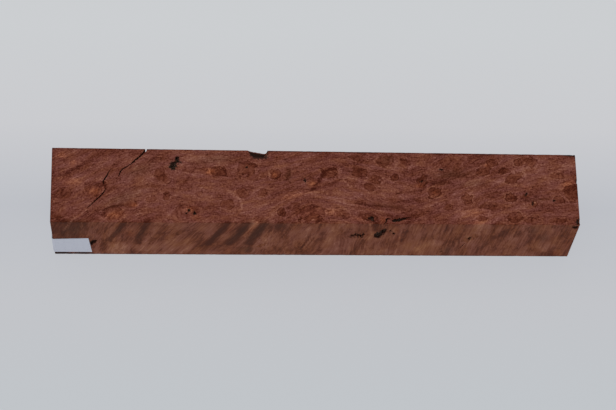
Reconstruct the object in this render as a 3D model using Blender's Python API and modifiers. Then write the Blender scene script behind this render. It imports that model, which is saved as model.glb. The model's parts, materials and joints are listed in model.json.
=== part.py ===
"""Stabilized redwood burl pen blank.

One stick sawn square from redwood burl, with its drying cracks, bark pockets and chipped corners cut
out of one solid, and a bare paper label folded round its front left edge.

Metres, +Z up. The origin lies under the middle of the stick, +X runs along it and the front faces -Y.
"""

import math
import random

import bmesh
import bpy
from mathutils import Matrix, Vector, noise

MM = 0.001

# Stick: a 5 inch blank of 3/4 inch stock, a little wider at the left end, its left end sawn askew
LENGTH = 127.0 * MM
HEIGHT = 19.2 * MM
WIDTH_LEFT = 19.7 * MM
WIDTH_RIGHT = 18.8 * MM
LEFT_END_SKEW = 0.3 * MM
EASED_EDGE = 0.2 * MM
EDGE_SEGMENTS = 2

# The burl's fibres and streaks lean this far along X for each millimetre down
GRAIN_LEAN = 0.46

# Label: a paper strip folded round the front left edge
LABEL_GAP = 0.3 * MM
LABEL_THICKNESS = 0.12 * MM
LABEL_BOTTOM = 1.42 * MM
LABEL_TOP_AT_FOLD = 9.35 * MM
LABEL_TOP_AT_FRONT_END = 9.87 * MM
LABEL_FRONT_END = -54.7 * MM
LABEL_FRONT_END_LEAN = 0.5 * MM
LABEL_ON_LEFT_END = 9.2 * MM
LABEL_FOLD_RADIUS = 0.45 * MM
FOLD_STEPS = 3

# How far the cutters stand clear of the face that they cut
CLEAR = 0.6 * MM
SEED = 7

# Materials: base colour, roughness, metallic
BURL = ("burl_wood", (0.13, 0.045, 0.032, 1.0), 0.5, 0.0)
PAPER = ("label_paper", (0.60, 0.62, 0.66, 1.0), 0.8, 0.0)

# Pockets where bark or soft wood fell out, in millimetres: name, face, place along and across the
# face, half its length, half its width, depth, and the turn of its length from the X axis in degrees.
# Top and bottom count across in Y, front and back in Z, and the ends count along in Y, across in Z.
POCKETS = (
    ("pocket_deep", "top", -34.4, 5.25, 0.72, 0.98, 2.4, -15),
    ("pocket_neck", "top", -33.35, 6.95, 0.42, 0.95, 1.6, 18),
    ("pin_trio_1", "top", -30.5, -6.5, 0.34, 0.42, 0.9, 20),
    ("pin_trio_2", "top", -31.1, -7.4, 0.26, 0.42, 0.8, -25),
    ("pin_trio_3", "top", -29.1, -7.2, 0.4, 0.5, 1.0, 10),
    ("pin_orange_eye", "top", -16.8, 5.1, 0.3, 0.26, 0.7, 0),
    ("pin_middle", "top", -2.6, 1.6, 0.3, 0.52, 0.9, 15),
    ("round_front", "top", 13.3, -8.1, 0.46, 0.6, 1.3, 0),
    ("pin_blue", "top", 25.7, 1.95, 0.42, 0.22, 0.6, 12),
    ("pin_back", "top", 30.6, 5.05, 0.5, 0.2, 0.6, 8),
    ("slit_right", "top", 50.9, -1.3, 0.22, 0.48, 0.9, -12),
    ("pin_right", "top", 57.5, -3.0, 0.4, 0.28, 0.8, 25),
    ("pin_eye_right", "top", 52.55, -3.85, 0.25, 0.3, 0.6, 0),
    ("corner_top", "top", 63.15, -8.55, 0.62, 0.7, 1.0, 0),
    ("corner_front", "front", 62.75, 17.75, 0.85, 0.72, 1.0, 20),
    ("corner_back", "top", 62.6, 9.25, 1.0, 0.42, 0.9, -4),
    ("end_edge", "top", 63.5, 2.1, 0.35, 0.55, 0.8, 0),
    ("label_side", "front", -53.55, 7.75, 0.62, 1.0, 1.4, -20),
    ("label_side_foot", "front", -54.1, 6.5, 0.34, 0.7, 0.9, -10),
    ("double_low", "front", 15.25, 12.6, 0.85, 1.6, 3.0, -12),
    ("double_high", "front", 16.4, 14.6, 0.5, 1.3, 2.2, -8),
    ("front_pin_1", "front", 18.95, 13.45, 0.24, 0.5, 0.8, 5),
    ("front_pin_2", "front", 18.05, 15.2, 0.17, 0.45, 0.6, 5),
    ("front_olive", "front", 37.7, 10.9, 0.32, 0.75, 1.0, -12),
    ("front_pin_3", "front", 31.7, 3.0, 0.2, 0.42, 0.6, -20),
    ("back_twin_1", "back", 21.0, 7.4, 0.8, 1.5, 2.4, -14),
    ("back_twin_2", "back", 22.3, 9.6, 0.42, 0.9, 1.6, -20),
    ("back_pin_1", "back", -24.6, 12.3, 0.3, 0.55, 0.8, -10),
    ("back_pin_2", "back", 43.8, 4.9, 0.34, 0.6, 0.9, -22),
    ("back_pin_3", "back", 52.0, 14.2, 0.26, 0.5, 0.7, -8),
    ("under_pocket", "bottom", 39.0, -3.6, 1.0, 0.7, 2.0, 24),
    ("under_pocket_tail", "bottom", 40.6, -2.6, 0.8, 0.36, 1.2, 30),
    ("under_pin_1", "bottom", -19.0, 4.9, 0.4, 0.34, 0.8, 0),
    ("under_pin_2", "bottom", -43.4, -5.2, 0.34, 0.46, 0.9, 15),
    ("right_end_pocket", "right", 3.6, 12.6, 0.42, 1.0, 1.6, -10),
    ("left_end_pocket", "left", 4.8, 14.3, 0.36, 0.8, 1.2, 12),
)

# Drying cracks and torn slots, in millimetres. Each has a name, a face, a lean (0 runs square into
# the wood, 1 follows the fibres) and points: along, across, width at the face, depth.
CRACKS = (
    (
        "crack_back",
        "top",
        0.0,
        (
            (-40.55, 10.6, 0.62, 8.5),
            (-41.1, 9.4, 0.58, 8.0),
            (-41.75, 8.55, 0.44, 6.6),
            (-42.45, 7.7, 0.5, 5.4),
            (-43.3, 6.95, 0.4, 4.4),
            (-44.1, 6.15, 0.44, 3.8),
            (-44.75, 5.5, 0.18, 3.0),
            (-45.4, 5.0, 0.26, 2.8),
            (-46.45, 4.35, 0.34, 2.6),
            (-47.0, 3.6, 0.34, 2.2),
            (-47.5, 2.3, 0.14, 1.0),
        ),
    ),
    (
        "crack_middle",
        "top",
        0.3,
        (
            (-49.3, 4.2, 0.12, 0.9),
            (-49.9, 3.2, 0.26, 2.0),
            (-50.55, 1.85, 0.36, 2.6),
            (-51.0, 0.95, 0.36, 2.4),
            (-50.85, 0.2, 0.14, 1.0),
        ),
    ),
    (
        "crack_front",
        "top",
        0.3,
        (
            (-50.35, -0.95, 0.2, 1.2),
            (-50.75, -1.9, 0.34, 2.2),
            (-51.6, -3.0, 0.32, 2.6),
            (-52.5, -3.9, 0.3, 2.6),
            (-53.45, -4.9, 0.28, 2.2),
            (-54.55, -6.1, 0.14, 0.9),
        ),
    ),
    (
        "slot_hook",
        "top",
        0.0,
        (
            (15.9, -9.75, 0.14, 0.5),
            (16.65, -9.15, 0.34, 1.0),
            (16.8, -8.5, 0.42, 1.3),
            (17.15, -8.1, 0.3, 1.0),
            (17.9, -8.3, 0.2, 0.8),
        ),
    ),
    (
        "slot",
        "top",
        0.0,
        (
            (18.1, -8.8, 0.4, 1.3),
            (18.9, -8.6, 0.74, 2.2),
            (19.9, -8.42, 0.66, 2.4),
            (20.7, -8.28, 0.5, 1.8),
            (21.5, -8.05, 0.26, 1.0),
            (22.8, -7.7, 0.12, 0.5),
        ),
    ),
    (
        "front_tear",
        "front",
        0.0,
        (
            (8.5, 12.45, 0.3, 0.7),
            (9.3, 12.3, 0.5, 1.3),
            (10.2, 12.5, 0.62, 1.6),
            (11.1, 12.35, 0.86, 1.6),
            (12.1, 12.9, 0.3, 0.7),
        ),
    ),
    (
        "front_tear_foot",
        "front",
        0.0,
        (
            (10.85, 12.2, 0.34, 1.2),
            (11.2, 11.55, 0.5, 1.2),
            (11.3, 10.8, 0.18, 0.6),
        ),
    ),
    (
        "front_check",
        "front",
        0.0,
        (
            (36.95, 8.1, 0.12, 0.4),
            (36.55, 6.7, 0.22, 0.8),
            (36.2, 5.6, 0.2, 0.8),
            (35.6, 4.1, 0.1, 0.4),
        ),
    ),
    (
        "back_check",
        "back",
        0.0,
        (
            (-6.2, 15.6, 0.12, 0.6),
            (-7.1, 13.2, 0.26, 1.4),
            (-8.3, 10.9, 0.3, 1.8),
            (-9.1, 8.8, 0.2, 1.2),
            (-9.5, 7.2, 0.1, 0.5),
        ),
    ),
    (
        "under_check",
        "bottom",
        0.0,
        (
            (7.6, -1.4, 0.12, 0.6),
            (9.6, -0.8, 0.26, 1.4),
            (12.0, 0.3, 0.32, 1.8),
            (14.1, 0.9, 0.2, 1.2),
            (15.7, 1.9, 0.1, 0.5),
        ),
    ),
)

# Notch torn out of the back top edge, in millimetres: along, front rim across, depth at the back face
NOTCH = (
    (-16.75, 9.95, 0.0),
    (-16.35, 9.2, 0.35),
    (-15.75, 8.35, 0.75),
    (-15.1, 7.75, 1.05),
    (-14.2, 7.6, 1.4),
    (-13.4, 7.65, 1.7),
    (-12.7, 7.6, 1.95),
    (-12.15, 8.3, 2.1),
    (-11.8, 9.1, 1.2),
    (-11.5, 9.95, 0.0),
)
NOTCH_ROWS = (0.0, 0.12, 0.4, 0.7, 1.0)
NOTCH_ROW_DEPTHS = (-0.4, 0.62, 0.9, 0.96, 1.0)
NOTCH_BACK = 10.7
NOTCH_ROUGHNESS = 0.12


def half_width(x):
    """Half the stick's width at a place along it."""
    share = (x + LENGTH / 2) / LENGTH
    return (WIDTH_LEFT + (WIDTH_RIGHT - WIDTH_LEFT) * share) / 2


def face_frame(face, along, across):
    """A point on one of the six faces as a matrix: X along the face, Y across it, Z out of the wood."""
    if face == "top":
        rows = (Vector((1, 0, 0)), Vector((0, 1, 0)), Vector((along, across, HEIGHT)))
    elif face == "bottom":
        rows = (Vector((1, 0, 0)), Vector((0, -1, 0)), Vector((along, across, 0)))
    elif face == "front":
        rows = (Vector((1, 0, 0)), Vector((0, 0, 1)), Vector((along, -half_width(along), across)))
    elif face == "back":
        rows = (Vector((-1, 0, 0)), Vector((0, 0, 1)), Vector((along, half_width(along), across)))
    elif face == "right":
        rows = (Vector((0, 1, 0)), Vector((0, 0, 1)), Vector((LENGTH / 2, along, across)))
    else:
        rows = (Vector((0, -1, 0)), Vector((0, 0, 1)), Vector((-LENGTH / 2, along, across)))
    along_axis, across_axis, place = rows
    out_axis = along_axis.cross(across_axis)
    turn = Matrix((along_axis, across_axis, out_axis)).transposed().to_4x4()
    return Matrix.Translation(place) @ turn


def clear_scene():
    for item in list(bpy.data.objects):
        bpy.data.objects.remove(item, do_unlink=True)


def collection_named(name):
    collection = bpy.data.collections.new(name)
    bpy.context.scene.collection.children.link(collection)
    return collection


def material_named(name, colour, roughness, metallic):
    material = bpy.data.materials.new(name)
    material.use_nodes = True
    shader = material.node_tree.nodes["Principled BSDF"]
    shader.inputs["Base Color"].default_value = colour
    shader.inputs["Roughness"].default_value = roughness
    shader.inputs["Metallic"].default_value = metallic
    material.diffuse_color = colour
    return material


def object_from(name, bm, collection):
    """A named object in a collection, from a bmesh that is then freed."""
    mesh = bpy.data.meshes.new(name)
    bm.to_mesh(mesh)
    bm.free()
    made = bpy.data.objects.new(name, mesh)
    collection.objects.link(made)
    return made


def hide_cutter(cutter):
    cutter.hide_render = True
    cutter.display_type = "WIRE"


def stick_body(collection):
    """The sawn stick: a cube stretched to size, tapered, its left end skewed and its edges eased."""
    bm = bmesh.new()
    bmesh.ops.create_cube(bm, size=1.0)
    bmesh.ops.scale(bm, verts=bm.verts, vec=(LENGTH, 1.0, HEIGHT))
    bmesh.ops.translate(bm, verts=bm.verts, vec=(0, 0, HEIGHT / 2))
    for vert in bm.verts:
        side = math.copysign(1.0, vert.co.y)
        vert.co.y = side * half_width(vert.co.x)
        if vert.co.x < 0:
            vert.co.x -= side * LEFT_END_SKEW / 2
    body = object_from("blank", bm, collection)
    eased = body.modifiers.new("eased_edges", "BEVEL")
    eased.width = EASED_EDGE
    eased.segments = EDGE_SEGMENTS
    eased.limit_method = "ANGLE"
    return body


def pocket_cutter(pocket, collection):
    """A lumpy egg sunk in a face, with its size as wide as the pocket's mouth."""
    name, face, along, across, half_along, half_across, depth, turn = pocket
    bm = bmesh.new()
    levels = 3 if depth > 1.5 else 2
    bmesh.ops.create_icosphere(bm, subdivisions=levels, radius=1.0)
    shift = Vector((along, across, depth))
    for vert in bm.verts:
        lump = noise.noise(vert.co * 1.7 + shift)
        vert.co *= 1.0 + 0.28 * lump
    bmesh.ops.scale(bm, verts=bm.verts, vec=(half_along * MM, half_across * MM, depth * MM))
    place = face_frame(face, along * MM, across * MM) @ Matrix.Rotation(math.radians(turn), 4, "Z")
    bmesh.ops.transform(bm, matrix=place, verts=bm.verts)
    hide_cutter(object_from(f"cut_{name}", bm, collection))


def crack_cutter(crack, collection, rng):
    """A ribbon that follows the crack down into the wood, thickened most at its mouth."""
    name, face, lean, points = crack
    widest = max(point[2] for point in points)
    bm = bmesh.new()
    weights = bm.verts.layers.deform.new()
    mouth = []
    for along, across, width, _ in points:
        jitter = Vector((rng.uniform(-0.05, 0.05), rng.uniform(-0.05, 0.05), 0)) * MM
        place = face_frame(face, along * MM, across * MM)
        vert = bm.verts.new(place @ (jitter + Vector((0, 0, CLEAR))))
        vert[weights][0] = width / widest
        mouth.append(vert)
    rim = [bm.edges.new(pair) for pair in zip(mouth, mouth[1:])]
    outward = face_frame(face, points[0][0] * MM, points[0][1] * MM).to_3x3().col[2]
    drift = Vector((1, 0, 0)) * (lean * GRAIN_LEAN * outward.z)
    for step, (share, narrowing) in enumerate(((0.45, 0.7), (0.55, 0.35))):
        grown = bmesh.ops.extrude_edge_only(bm, edges=rim)["geom"]
        fresh = [item for item in grown if isinstance(item, bmesh.types.BMVert)]
        rim = [item for item in grown if isinstance(item, bmesh.types.BMEdge)]
        rim = [edge for edge in rim if all(vert in fresh for vert in edge.verts)]
        for vert in fresh:
            nearest = min(
                points,
                key=lambda point: (
                    face_frame(face, point[0] * MM, point[1] * MM).translation - vert.co
                ).length_squared,
            )
            fall = share * (nearest[3] * MM + (CLEAR if step == 0 else 0))
            vert.co -= (outward + drift) * fall
            vert[weights][0] = narrowing * nearest[2] / widest
    ribbon = object_from(f"cut_{name}", bm, collection)
    ribbon.vertex_groups.new(name="width")
    wall = ribbon.modifiers.new("width", "SOLIDIFY")
    wall.thickness = widest * MM
    wall.offset = 0.0
    wall.vertex_group = "width"
    hide_cutter(ribbon)


def notch_cutter(collection):
    """The torn notch: a rough sloping floor, closed by a lid above the top face."""
    bm = bmesh.new()
    rows = []
    for share, deep in zip(NOTCH_ROWS, NOTCH_ROW_DEPTHS):
        row = []
        for along, rim, depth in NOTCH:
            across = rim + (NOTCH_BACK - rim) * share
            rough = NOTCH_ROUGHNESS * noise.noise(Vector((along, across, 3.0)) * 2.3)
            fall = deep * depth + rough if deep > 0 else deep
            row.append(bm.verts.new(Vector((along * MM, across * MM, HEIGHT - fall * MM))))
        rows.append(row)
    for near, far in zip(rows, rows[1:]):
        for column in range(len(near) - 1):
            bm.faces.new((near[column], near[column + 1], far[column + 1], far[column]))
    floor = list(bm.faces)
    lid = bmesh.ops.extrude_face_region(bm, geom=floor, use_keep_orig=True)["geom"]
    for item in lid:
        if isinstance(item, bmesh.types.BMVert):
            item.co.z = HEIGHT + 2 * CLEAR
    bmesh.ops.recalc_face_normals(bm, faces=bm.faces)
    hide_cutter(object_from("cut_notch", bm, collection))


def blank(parts, cutters):
    """The stick with every pocket, crack and notch cut out of it."""
    body = stick_body(parts)
    rng = random.Random(SEED)
    for pocket in POCKETS:
        pocket_cutter(pocket, cutters)
    for crack in CRACKS:
        crack_cutter(crack, cutters, rng)
    notch_cutter(cutters)
    cut = body.modifiers.new("pockets_and_cracks", "BOOLEAN")
    cut.operation = "DIFFERENCE"
    cut.operand_type = "COLLECTION"
    cut.collection = cutters
    cut.solver = "EXACT"
    body.data.materials.append(material_named(*BURL))
    return body


def label_path():
    """The label's inner line round the front left edge, from its front end to its end on the left face."""
    left = -LENGTH / 2 + LEFT_END_SKEW / 2
    front_end = Vector((LABEL_FRONT_END, -half_width(LABEL_FRONT_END) - LABEL_GAP, 0))
    corner = Vector((left - LABEL_GAP, -half_width(left) - LABEL_GAP, 0))
    along_left = Vector((-LEFT_END_SKEW, half_width(left) * 2, 0)).normalized()
    along_front = (front_end - corner).normalized()
    centre = corner + (along_left + along_front) * LABEL_FOLD_RADIUS
    fold = []
    for step in range(FOLD_STEPS + 1):
        angle = math.radians(90) * step / FOLD_STEPS
        fold.append(
            centre
            - along_left * LABEL_FOLD_RADIUS * math.cos(angle)
            - along_front * LABEL_FOLD_RADIUS * math.sin(angle)
        )
    return [front_end, *fold, corner + along_left * LABEL_ON_LEFT_END]


def label(parts):
    """The bare paper label: a strip along its folded line, thickened outwards."""
    bm = bmesh.new()
    path = label_path()
    foot = [bm.verts.new(point + Vector((0, 0, LABEL_BOTTOM))) for point in path]
    foot[0].co.x += LABEL_FRONT_END_LEAN
    edges = [bm.edges.new(pair) for pair in zip(foot, foot[1:])]
    grown = bmesh.ops.extrude_edge_only(bm, edges=edges)["geom"]
    raised = [item for item in grown if isinstance(item, bmesh.types.BMVert)]
    front_run = LABEL_FRONT_END + LENGTH / 2
    for vert in raised:
        share = min(max((vert.co.x + LENGTH / 2) / front_run, 0.0), 1.0)
        vert.co.z = LABEL_TOP_AT_FOLD + (LABEL_TOP_AT_FRONT_END - LABEL_TOP_AT_FOLD) * share
        if share > 0.5:
            vert.co.x -= LABEL_FRONT_END_LEAN
    bmesh.ops.recalc_face_normals(bm, faces=bm.faces)
    strip = object_from("label", bm, parts)
    outwards = strip.data.polygons[0].normal.y < 0
    sheet = strip.modifiers.new("paper_thickness", "SOLIDIFY")
    sheet.thickness = LABEL_THICKNESS
    sheet.offset = 1.0 if outwards else -1.0
    sheet.use_even_offset = True
    strip.data.materials.append(material_named(*PAPER))
    return strip


clear_scene()
parts_collection = collection_named("redwood_burl_pen_blank")
cutter_collection = collection_named("cutters")
blank(parts_collection, cutter_collection)
label(parts_collection)
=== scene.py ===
# %% [markdown]
# # A pen blank of stabilized redwood burl
#
# The real object is one square stick of burl, sawn on all sides and then filled with clear resin
# under vacuum, so that its cracks and bark pockets can't spread on the lathe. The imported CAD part
# already holds its size and its larger pockets. This lesson builds the same stick again with finer
# edges and torn hollows, writes the figure of the burl on to its mesh, and lights it as in a small
# photo studio.

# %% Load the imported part
import json
import math
import random

import bmesh
import bpy
import numpy as np
from mathutils import Matrix, Vector, noise

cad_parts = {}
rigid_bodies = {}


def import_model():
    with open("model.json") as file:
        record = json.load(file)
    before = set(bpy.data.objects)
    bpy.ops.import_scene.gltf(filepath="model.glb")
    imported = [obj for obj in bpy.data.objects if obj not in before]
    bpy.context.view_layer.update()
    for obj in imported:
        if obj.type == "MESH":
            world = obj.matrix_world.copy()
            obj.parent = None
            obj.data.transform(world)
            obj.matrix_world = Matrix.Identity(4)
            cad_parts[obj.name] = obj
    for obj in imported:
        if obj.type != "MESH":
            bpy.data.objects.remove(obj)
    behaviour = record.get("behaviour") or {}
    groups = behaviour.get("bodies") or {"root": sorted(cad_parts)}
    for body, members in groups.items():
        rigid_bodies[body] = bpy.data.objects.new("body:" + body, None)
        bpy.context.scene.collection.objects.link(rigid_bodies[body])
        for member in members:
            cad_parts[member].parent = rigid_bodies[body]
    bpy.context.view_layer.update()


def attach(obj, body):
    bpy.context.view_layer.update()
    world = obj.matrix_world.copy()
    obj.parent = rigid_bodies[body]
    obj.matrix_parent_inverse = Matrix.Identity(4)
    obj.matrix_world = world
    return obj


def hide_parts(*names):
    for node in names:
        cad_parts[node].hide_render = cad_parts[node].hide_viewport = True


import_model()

MM = 0.001

# %% [markdown]
# ## The camera
# A photograph of a straight stick with sharp corners gives its own camera away: seven corners and
# the known length of a five inch blank leave only one place to stand. The camera looks down
# steeply from the front, a little from the left, and is rolled a few degrees, which is why the
# stick climbs to the right side of the picture. A long lens keeps the two ends nearly the same
# height.

# %% Stand where the photographer stood
CAMERA_TURN = math.radians(-6.695)
CAMERA_HEIGHT_ANGLE = math.radians(65.038)
CAMERA_ROLL = math.radians(6.627)
CAMERA_OFFSET = Vector((-0.988, 3.716, 511.782)) * MM
LENS = 120.0
SENSOR = 36.0


def camera_axes():
    """The camera's right, up and back directions as the columns of a matrix."""
    flat = math.cos(CAMERA_HEIGHT_ANGLE)
    back = Vector(
        (
            math.sin(CAMERA_TURN) * flat,
            -math.cos(CAMERA_TURN) * flat,
            math.sin(CAMERA_HEIGHT_ANGLE),
        )
    )
    right = Vector((0, 0, 1)).cross(back).normalized()
    up = back.cross(right)
    rolled_right = right * math.cos(CAMERA_ROLL) + up * math.sin(CAMERA_ROLL)
    rolled_up = up * math.cos(CAMERA_ROLL) - right * math.sin(CAMERA_ROLL)
    return Matrix((rolled_right, rolled_up, back)).transposed()


camera_data = bpy.data.cameras.new("studio_camera")
camera_data.lens = LENS
camera_data.sensor_width = SENSOR
camera_data.clip_start = 10 * MM
camera = bpy.data.objects.new("studio_camera", camera_data)
axes = camera_axes()
camera.matrix_world = Matrix.Translation(axes @ CAMERA_OFFSET) @ axes.to_4x4()
bpy.context.scene.collection.objects.link(camera)
bpy.context.scene.camera = camera
print("camera stands", round(camera.location.length / MM), "mm from the stick")

# %% [markdown]
# ## One function for nodes, one for colours
# Every material below is a small tree of nodes. Written out by hand each node takes three or four
# lines, so one function adds a node, sets its properties and feeds its inputs. Colours are noted
# the way a picture editor shows them, as sRGB hex values, and one function turns them to the
# linear numbers that a renderer works with.

# %% Colour and node helpers


def linear(hex_colour):
    """An sRGB hex value as a linear colour with full alpha."""
    channels = [int(hex_colour[start : start + 2], 16) / 255 for start in (1, 3, 5)]
    bent = [c / 12.92 if c <= 0.04045 else ((c + 0.055) / 1.055) ** 2.4 for c in channels]
    return (*bent, 1.0)


def live_socket(sockets, spot):
    """The shown socket of that name, or with that number among the shown ones."""
    shown = [socket for socket in sockets if socket.enabled]
    return next(s for s in shown if s.name == spot) if isinstance(spot, str) else shown[spot]


def add_node(tree, kind, feeds=None, stops=None, **settings):
    """Adds a node. Feeds maps an input's name or number to a value, a socket or another node."""
    made = tree.nodes.new("ShaderNode" + kind)
    for name, value in settings.items():
        setattr(made, name, value)
    for spot, feed in (feeds or {}).items():
        socket = live_socket(made.inputs, spot)
        if isinstance(feed, bpy.types.Node):
            feed = live_socket(feed.outputs, 0)
        if isinstance(feed, bpy.types.NodeSocket):
            tree.links.new(feed, socket)
        else:
            socket.default_value = feed
    if stops:
        ramp = made.color_ramp
        while len(ramp.elements) < len(stops):
            ramp.elements.new(0.5)
        for element, (place, colour) in zip(ramp.elements, stops):
            element.position = place
            element.color = linear(colour)
    return made


def new_material(name):
    """An empty material: its tree and its principled shader."""
    material = bpy.data.materials.new(name)
    material.use_nodes = True
    return material, material.node_tree, material.node_tree.nodes["Principled BSDF"]


# %% [markdown]
# ## The stick
# The blank is sawn, so it is a box, but no real box is exact. This one is 0.9 mm wider at its left
# end, that end was cut a little askew, and its edges are eased where they rubbed against others. A
# cube stretched to size, tapered and bevelled gives that. Then its long edges are divided about
# every 0.4 mm, because the figure of the burl is later stored on the mesh's own points, and that
# also lets the edges wander and chip like real ones.

# %% Sizes of the stick
LENGTH = 127.0
HEIGHT = 19.2
WIDTH_LEFT = 19.7
WIDTH_RIGHT = 18.8
LEFT_END_SKEW = 0.3
EASED_EDGE = 0.16
GRAIN_LEAN = 0.46
STEPS_ALONG = 318
STEPS_ACROSS = 50
STEPS_UP = 49


def half_width(x):
    """Half the stick's width, in millimetres, at a place along it."""
    share = (x + LENGTH / 2) / LENGTH
    return (WIDTH_LEFT + (WIDTH_RIGHT - WIDTH_LEFT) * share) / 2


# %% Divide and wear the edges
# The wear wanders with two noises: waves per millimetre, and share. A last tiny step inwards keeps
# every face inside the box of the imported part.
ALONG_AXIS = 0.95
EDGE_ZONE = EASED_EDGE * 1.1
EDGE_NICK = 0.06
WEAR_WAVES = ((0.9, 1.0), (2.7, 0.6))
SAWN_INSET = 0.002


def divide_long_edges(bm, axis, shortest, steps):
    """Cuts every edge that runs along one axis, and is longer than shortest, into equal steps."""
    picked = []
    for edge in bm.edges:
        run = edge.verts[1].co - edge.verts[0].co
        if run.length > shortest and abs(run[axis]) > ALONG_AXIS * run.length:
            picked.append(edge)
    bmesh.ops.subdivide_edges(bm, edges=picked, cuts=steps - 1, use_grid_fill=True)


def nick_edges(bm):
    """Wears the stick's edges inwards by a wandering amount."""
    middle = Vector((0, 0, HEIGHT / 2))
    for vert in bm.verts:
        x, y, z = vert.co
        near = sorted((half_width(x) - abs(y), HEIGHT / 2 - abs(z - middle.z), LENGTH / 2 - abs(x)))
        if near[1] > EDGE_ZONE:
            continue
        worn = sum(share * noise.noise(vert.co * wave) for wave, share in WEAR_WAVES)
        inward = Vector((0, -y, middle.z - z))
        if near[2] < EDGE_ZONE:
            inward.x = -x
        vert.co += inward.normalized() * max(worn, 0.0) * EDGE_NICK
    for vert in bm.verts:
        for axis, offset in enumerate(vert.co - middle):
            vert.co[axis] -= math.copysign(SAWN_INSET, offset)


# %% Saw the stick
LONG_RUN = 100.0
SHORT_RUN = 15.0


def sawn_stick():
    """The bare stick in millimetres, as a bmesh."""
    bm = bmesh.new()
    bmesh.ops.create_cube(bm, size=1.0)
    bmesh.ops.scale(bm, verts=bm.verts, vec=(LENGTH, 1.0, HEIGHT))
    bmesh.ops.translate(bm, verts=bm.verts, vec=(0, 0, HEIGHT / 2))
    for vert in bm.verts:
        side = math.copysign(1.0, vert.co.y)
        vert.co.y = side * half_width(vert.co.x)
        if vert.co.x < 0:
            vert.co.x -= side * LEFT_END_SKEW / 2
    bmesh.ops.bevel(
        bm,
        geom=bm.edges[:],
        offset=EASED_EDGE,
        segments=2,
        profile=0.5,
        affect="EDGES",
        material=-1,
    )
    divide_long_edges(bm, 0, LONG_RUN, STEPS_ALONG)
    divide_long_edges(bm, 1, SHORT_RUN, STEPS_ACROSS)
    divide_long_edges(bm, 2, SHORT_RUN, STEPS_UP)
    nick_edges(bm)
    return bm


def object_from(name, bm, collection):
    """A named object from a bmesh in millimetres, which is then freed."""
    bmesh.ops.scale(bm, verts=bm.verts, vec=(MM, MM, MM))
    mesh = bpy.data.meshes.new(name)
    bm.to_mesh(mesh)
    bm.free()
    made = bpy.data.objects.new(name, mesh)
    collection.objects.link(made)
    return made


pieces = bpy.data.collections.new("pen_blank")
bpy.context.scene.collection.children.link(pieces)
stick = object_from("burl_stick", sawn_stick(), pieces)
print("sawn stick:", len(stick.data.polygons), "faces")

# %% [markdown]
# ## Pockets, cracks and the torn notch
# Burl grows round hundreds of buds, and bark, soft wood and air get trapped between them. Sawing
# opens those hollows, and drying pulls cracks from one to the next. Each hollow is the shape of a
# tool that is sunk in a face and cut away with a Boolean: a lumpy egg for a pocket, a thick torn
# ribbon for a crack, and a rough grid with a lid for the notch. The places are those of the packed
# part, in millimetres. The tools here only have more points, so that the torn walls look torn.

# %% Where the pockets are
# name, face, place along and across it, half length, half width, depth, turn in degrees
POCKETS = (
    ("pocket_deep", "top", -34.4, 5.25, 0.72, 0.98, 2.4, -15),
    ("pocket_neck", "top", -33.5, 6.95, 0.36, 0.85, 1.6, 18),
    ("pin_trio_1", "top", -30.5, -6.5, 0.24, 0.32, 0.6, 20),
    ("pin_trio_2", "top", -31.1, -7.3, 0.2, 0.28, 0.5, -25),
    ("pin_trio_3", "top", -29.1, -7.2, 0.3, 0.36, 0.7, 10),
    ("pin_orange_eye", "top", -16.8, 5.1, 0.26, 0.22, 0.5, 0),
    ("pin_middle", "top", -2.6, 1.6, 0.2, 0.4, 0.5, 15),
    ("round_front", "top", 13.3, -8.1, 0.46, 0.6, 1.3, 0),
    ("pin_blue", "top", 25.7, 1.95, 0.4, 0.16, 0.35, 12),
    ("pin_back", "top", 30.6, 5.05, 0.44, 0.16, 0.4, 8),
    ("slit_right", "top", 50.9, -1.3, 0.2, 0.4, 0.6, -12),
    ("pin_right", "top", 57.5, -3.0, 0.34, 0.24, 0.6, 25),
    ("pin_eye_right", "top", 52.4, -3.85, 0.2, 0.26, 0.4, 0),
    ("corner_top", "top", 63.15, -8.55, 0.62, 0.7, 1.0, 0),
    ("corner_front", "front", 62.75, 17.75, 0.85, 0.72, 1.0, 20),
    ("corner_back", "top", 62.8, 9.35, 0.6, 0.2, 0.3, -4),
    ("end_edge", "top", 63.5, 2.1, 0.35, 0.55, 0.8, 0),
    ("label_side", "front", -53.55, 7.75, 0.62, 1.0, 0.8, -20),
    ("label_side_foot", "front", -54.1, 6.5, 0.34, 0.7, 0.9, -10),
    ("double_low", "front", 15.3, 12.6, 1.0, 1.6, 3.0, -12),
    ("double_high", "front", 16.3, 14.6, 0.62, 1.3, 2.2, -8),
    ("front_pin_1", "front", 18.95, 13.45, 0.24, 0.5, 0.8, 5),
    ("front_pin_2", "front", 18.05, 15.2, 0.14, 0.36, 0.4, 5),
    ("front_olive", "front", 37.7, 10.9, 0.32, 0.75, 1.0, -12),
    ("front_pin_3", "front", 31.7, 3.0, 0.16, 0.34, 0.4, -20),
    ("back_twin_1", "back", 21.0, 7.4, 0.8, 1.5, 2.4, -14),
    ("back_twin_2", "back", 22.3, 9.6, 0.42, 0.9, 1.6, -20),
    ("back_pin_1", "back", -24.6, 12.3, 0.3, 0.55, 0.8, -10),
    ("back_pin_2", "back", 43.8, 4.9, 0.34, 0.6, 0.9, -22),
    ("back_pin_3", "back", 52.0, 14.2, 0.26, 0.5, 0.7, -8),
    ("under_pocket", "bottom", 39.0, -3.6, 1.0, 0.7, 2.0, 24),
    ("under_pocket_tail", "bottom", 40.6, -2.6, 0.8, 0.36, 1.2, 30),
    ("under_pin_1", "bottom", -19.0, 4.9, 0.4, 0.34, 0.8, 0),
    ("under_pin_2", "bottom", -43.4, -5.2, 0.34, 0.46, 0.9, 15),
    ("right_end_pocket", "right", 3.6, 12.6, 0.42, 1.0, 1.6, -10),
    ("left_end_pocket", "left", 4.8, 14.3, 0.36, 0.8, 1.2, 12),
)

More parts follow.
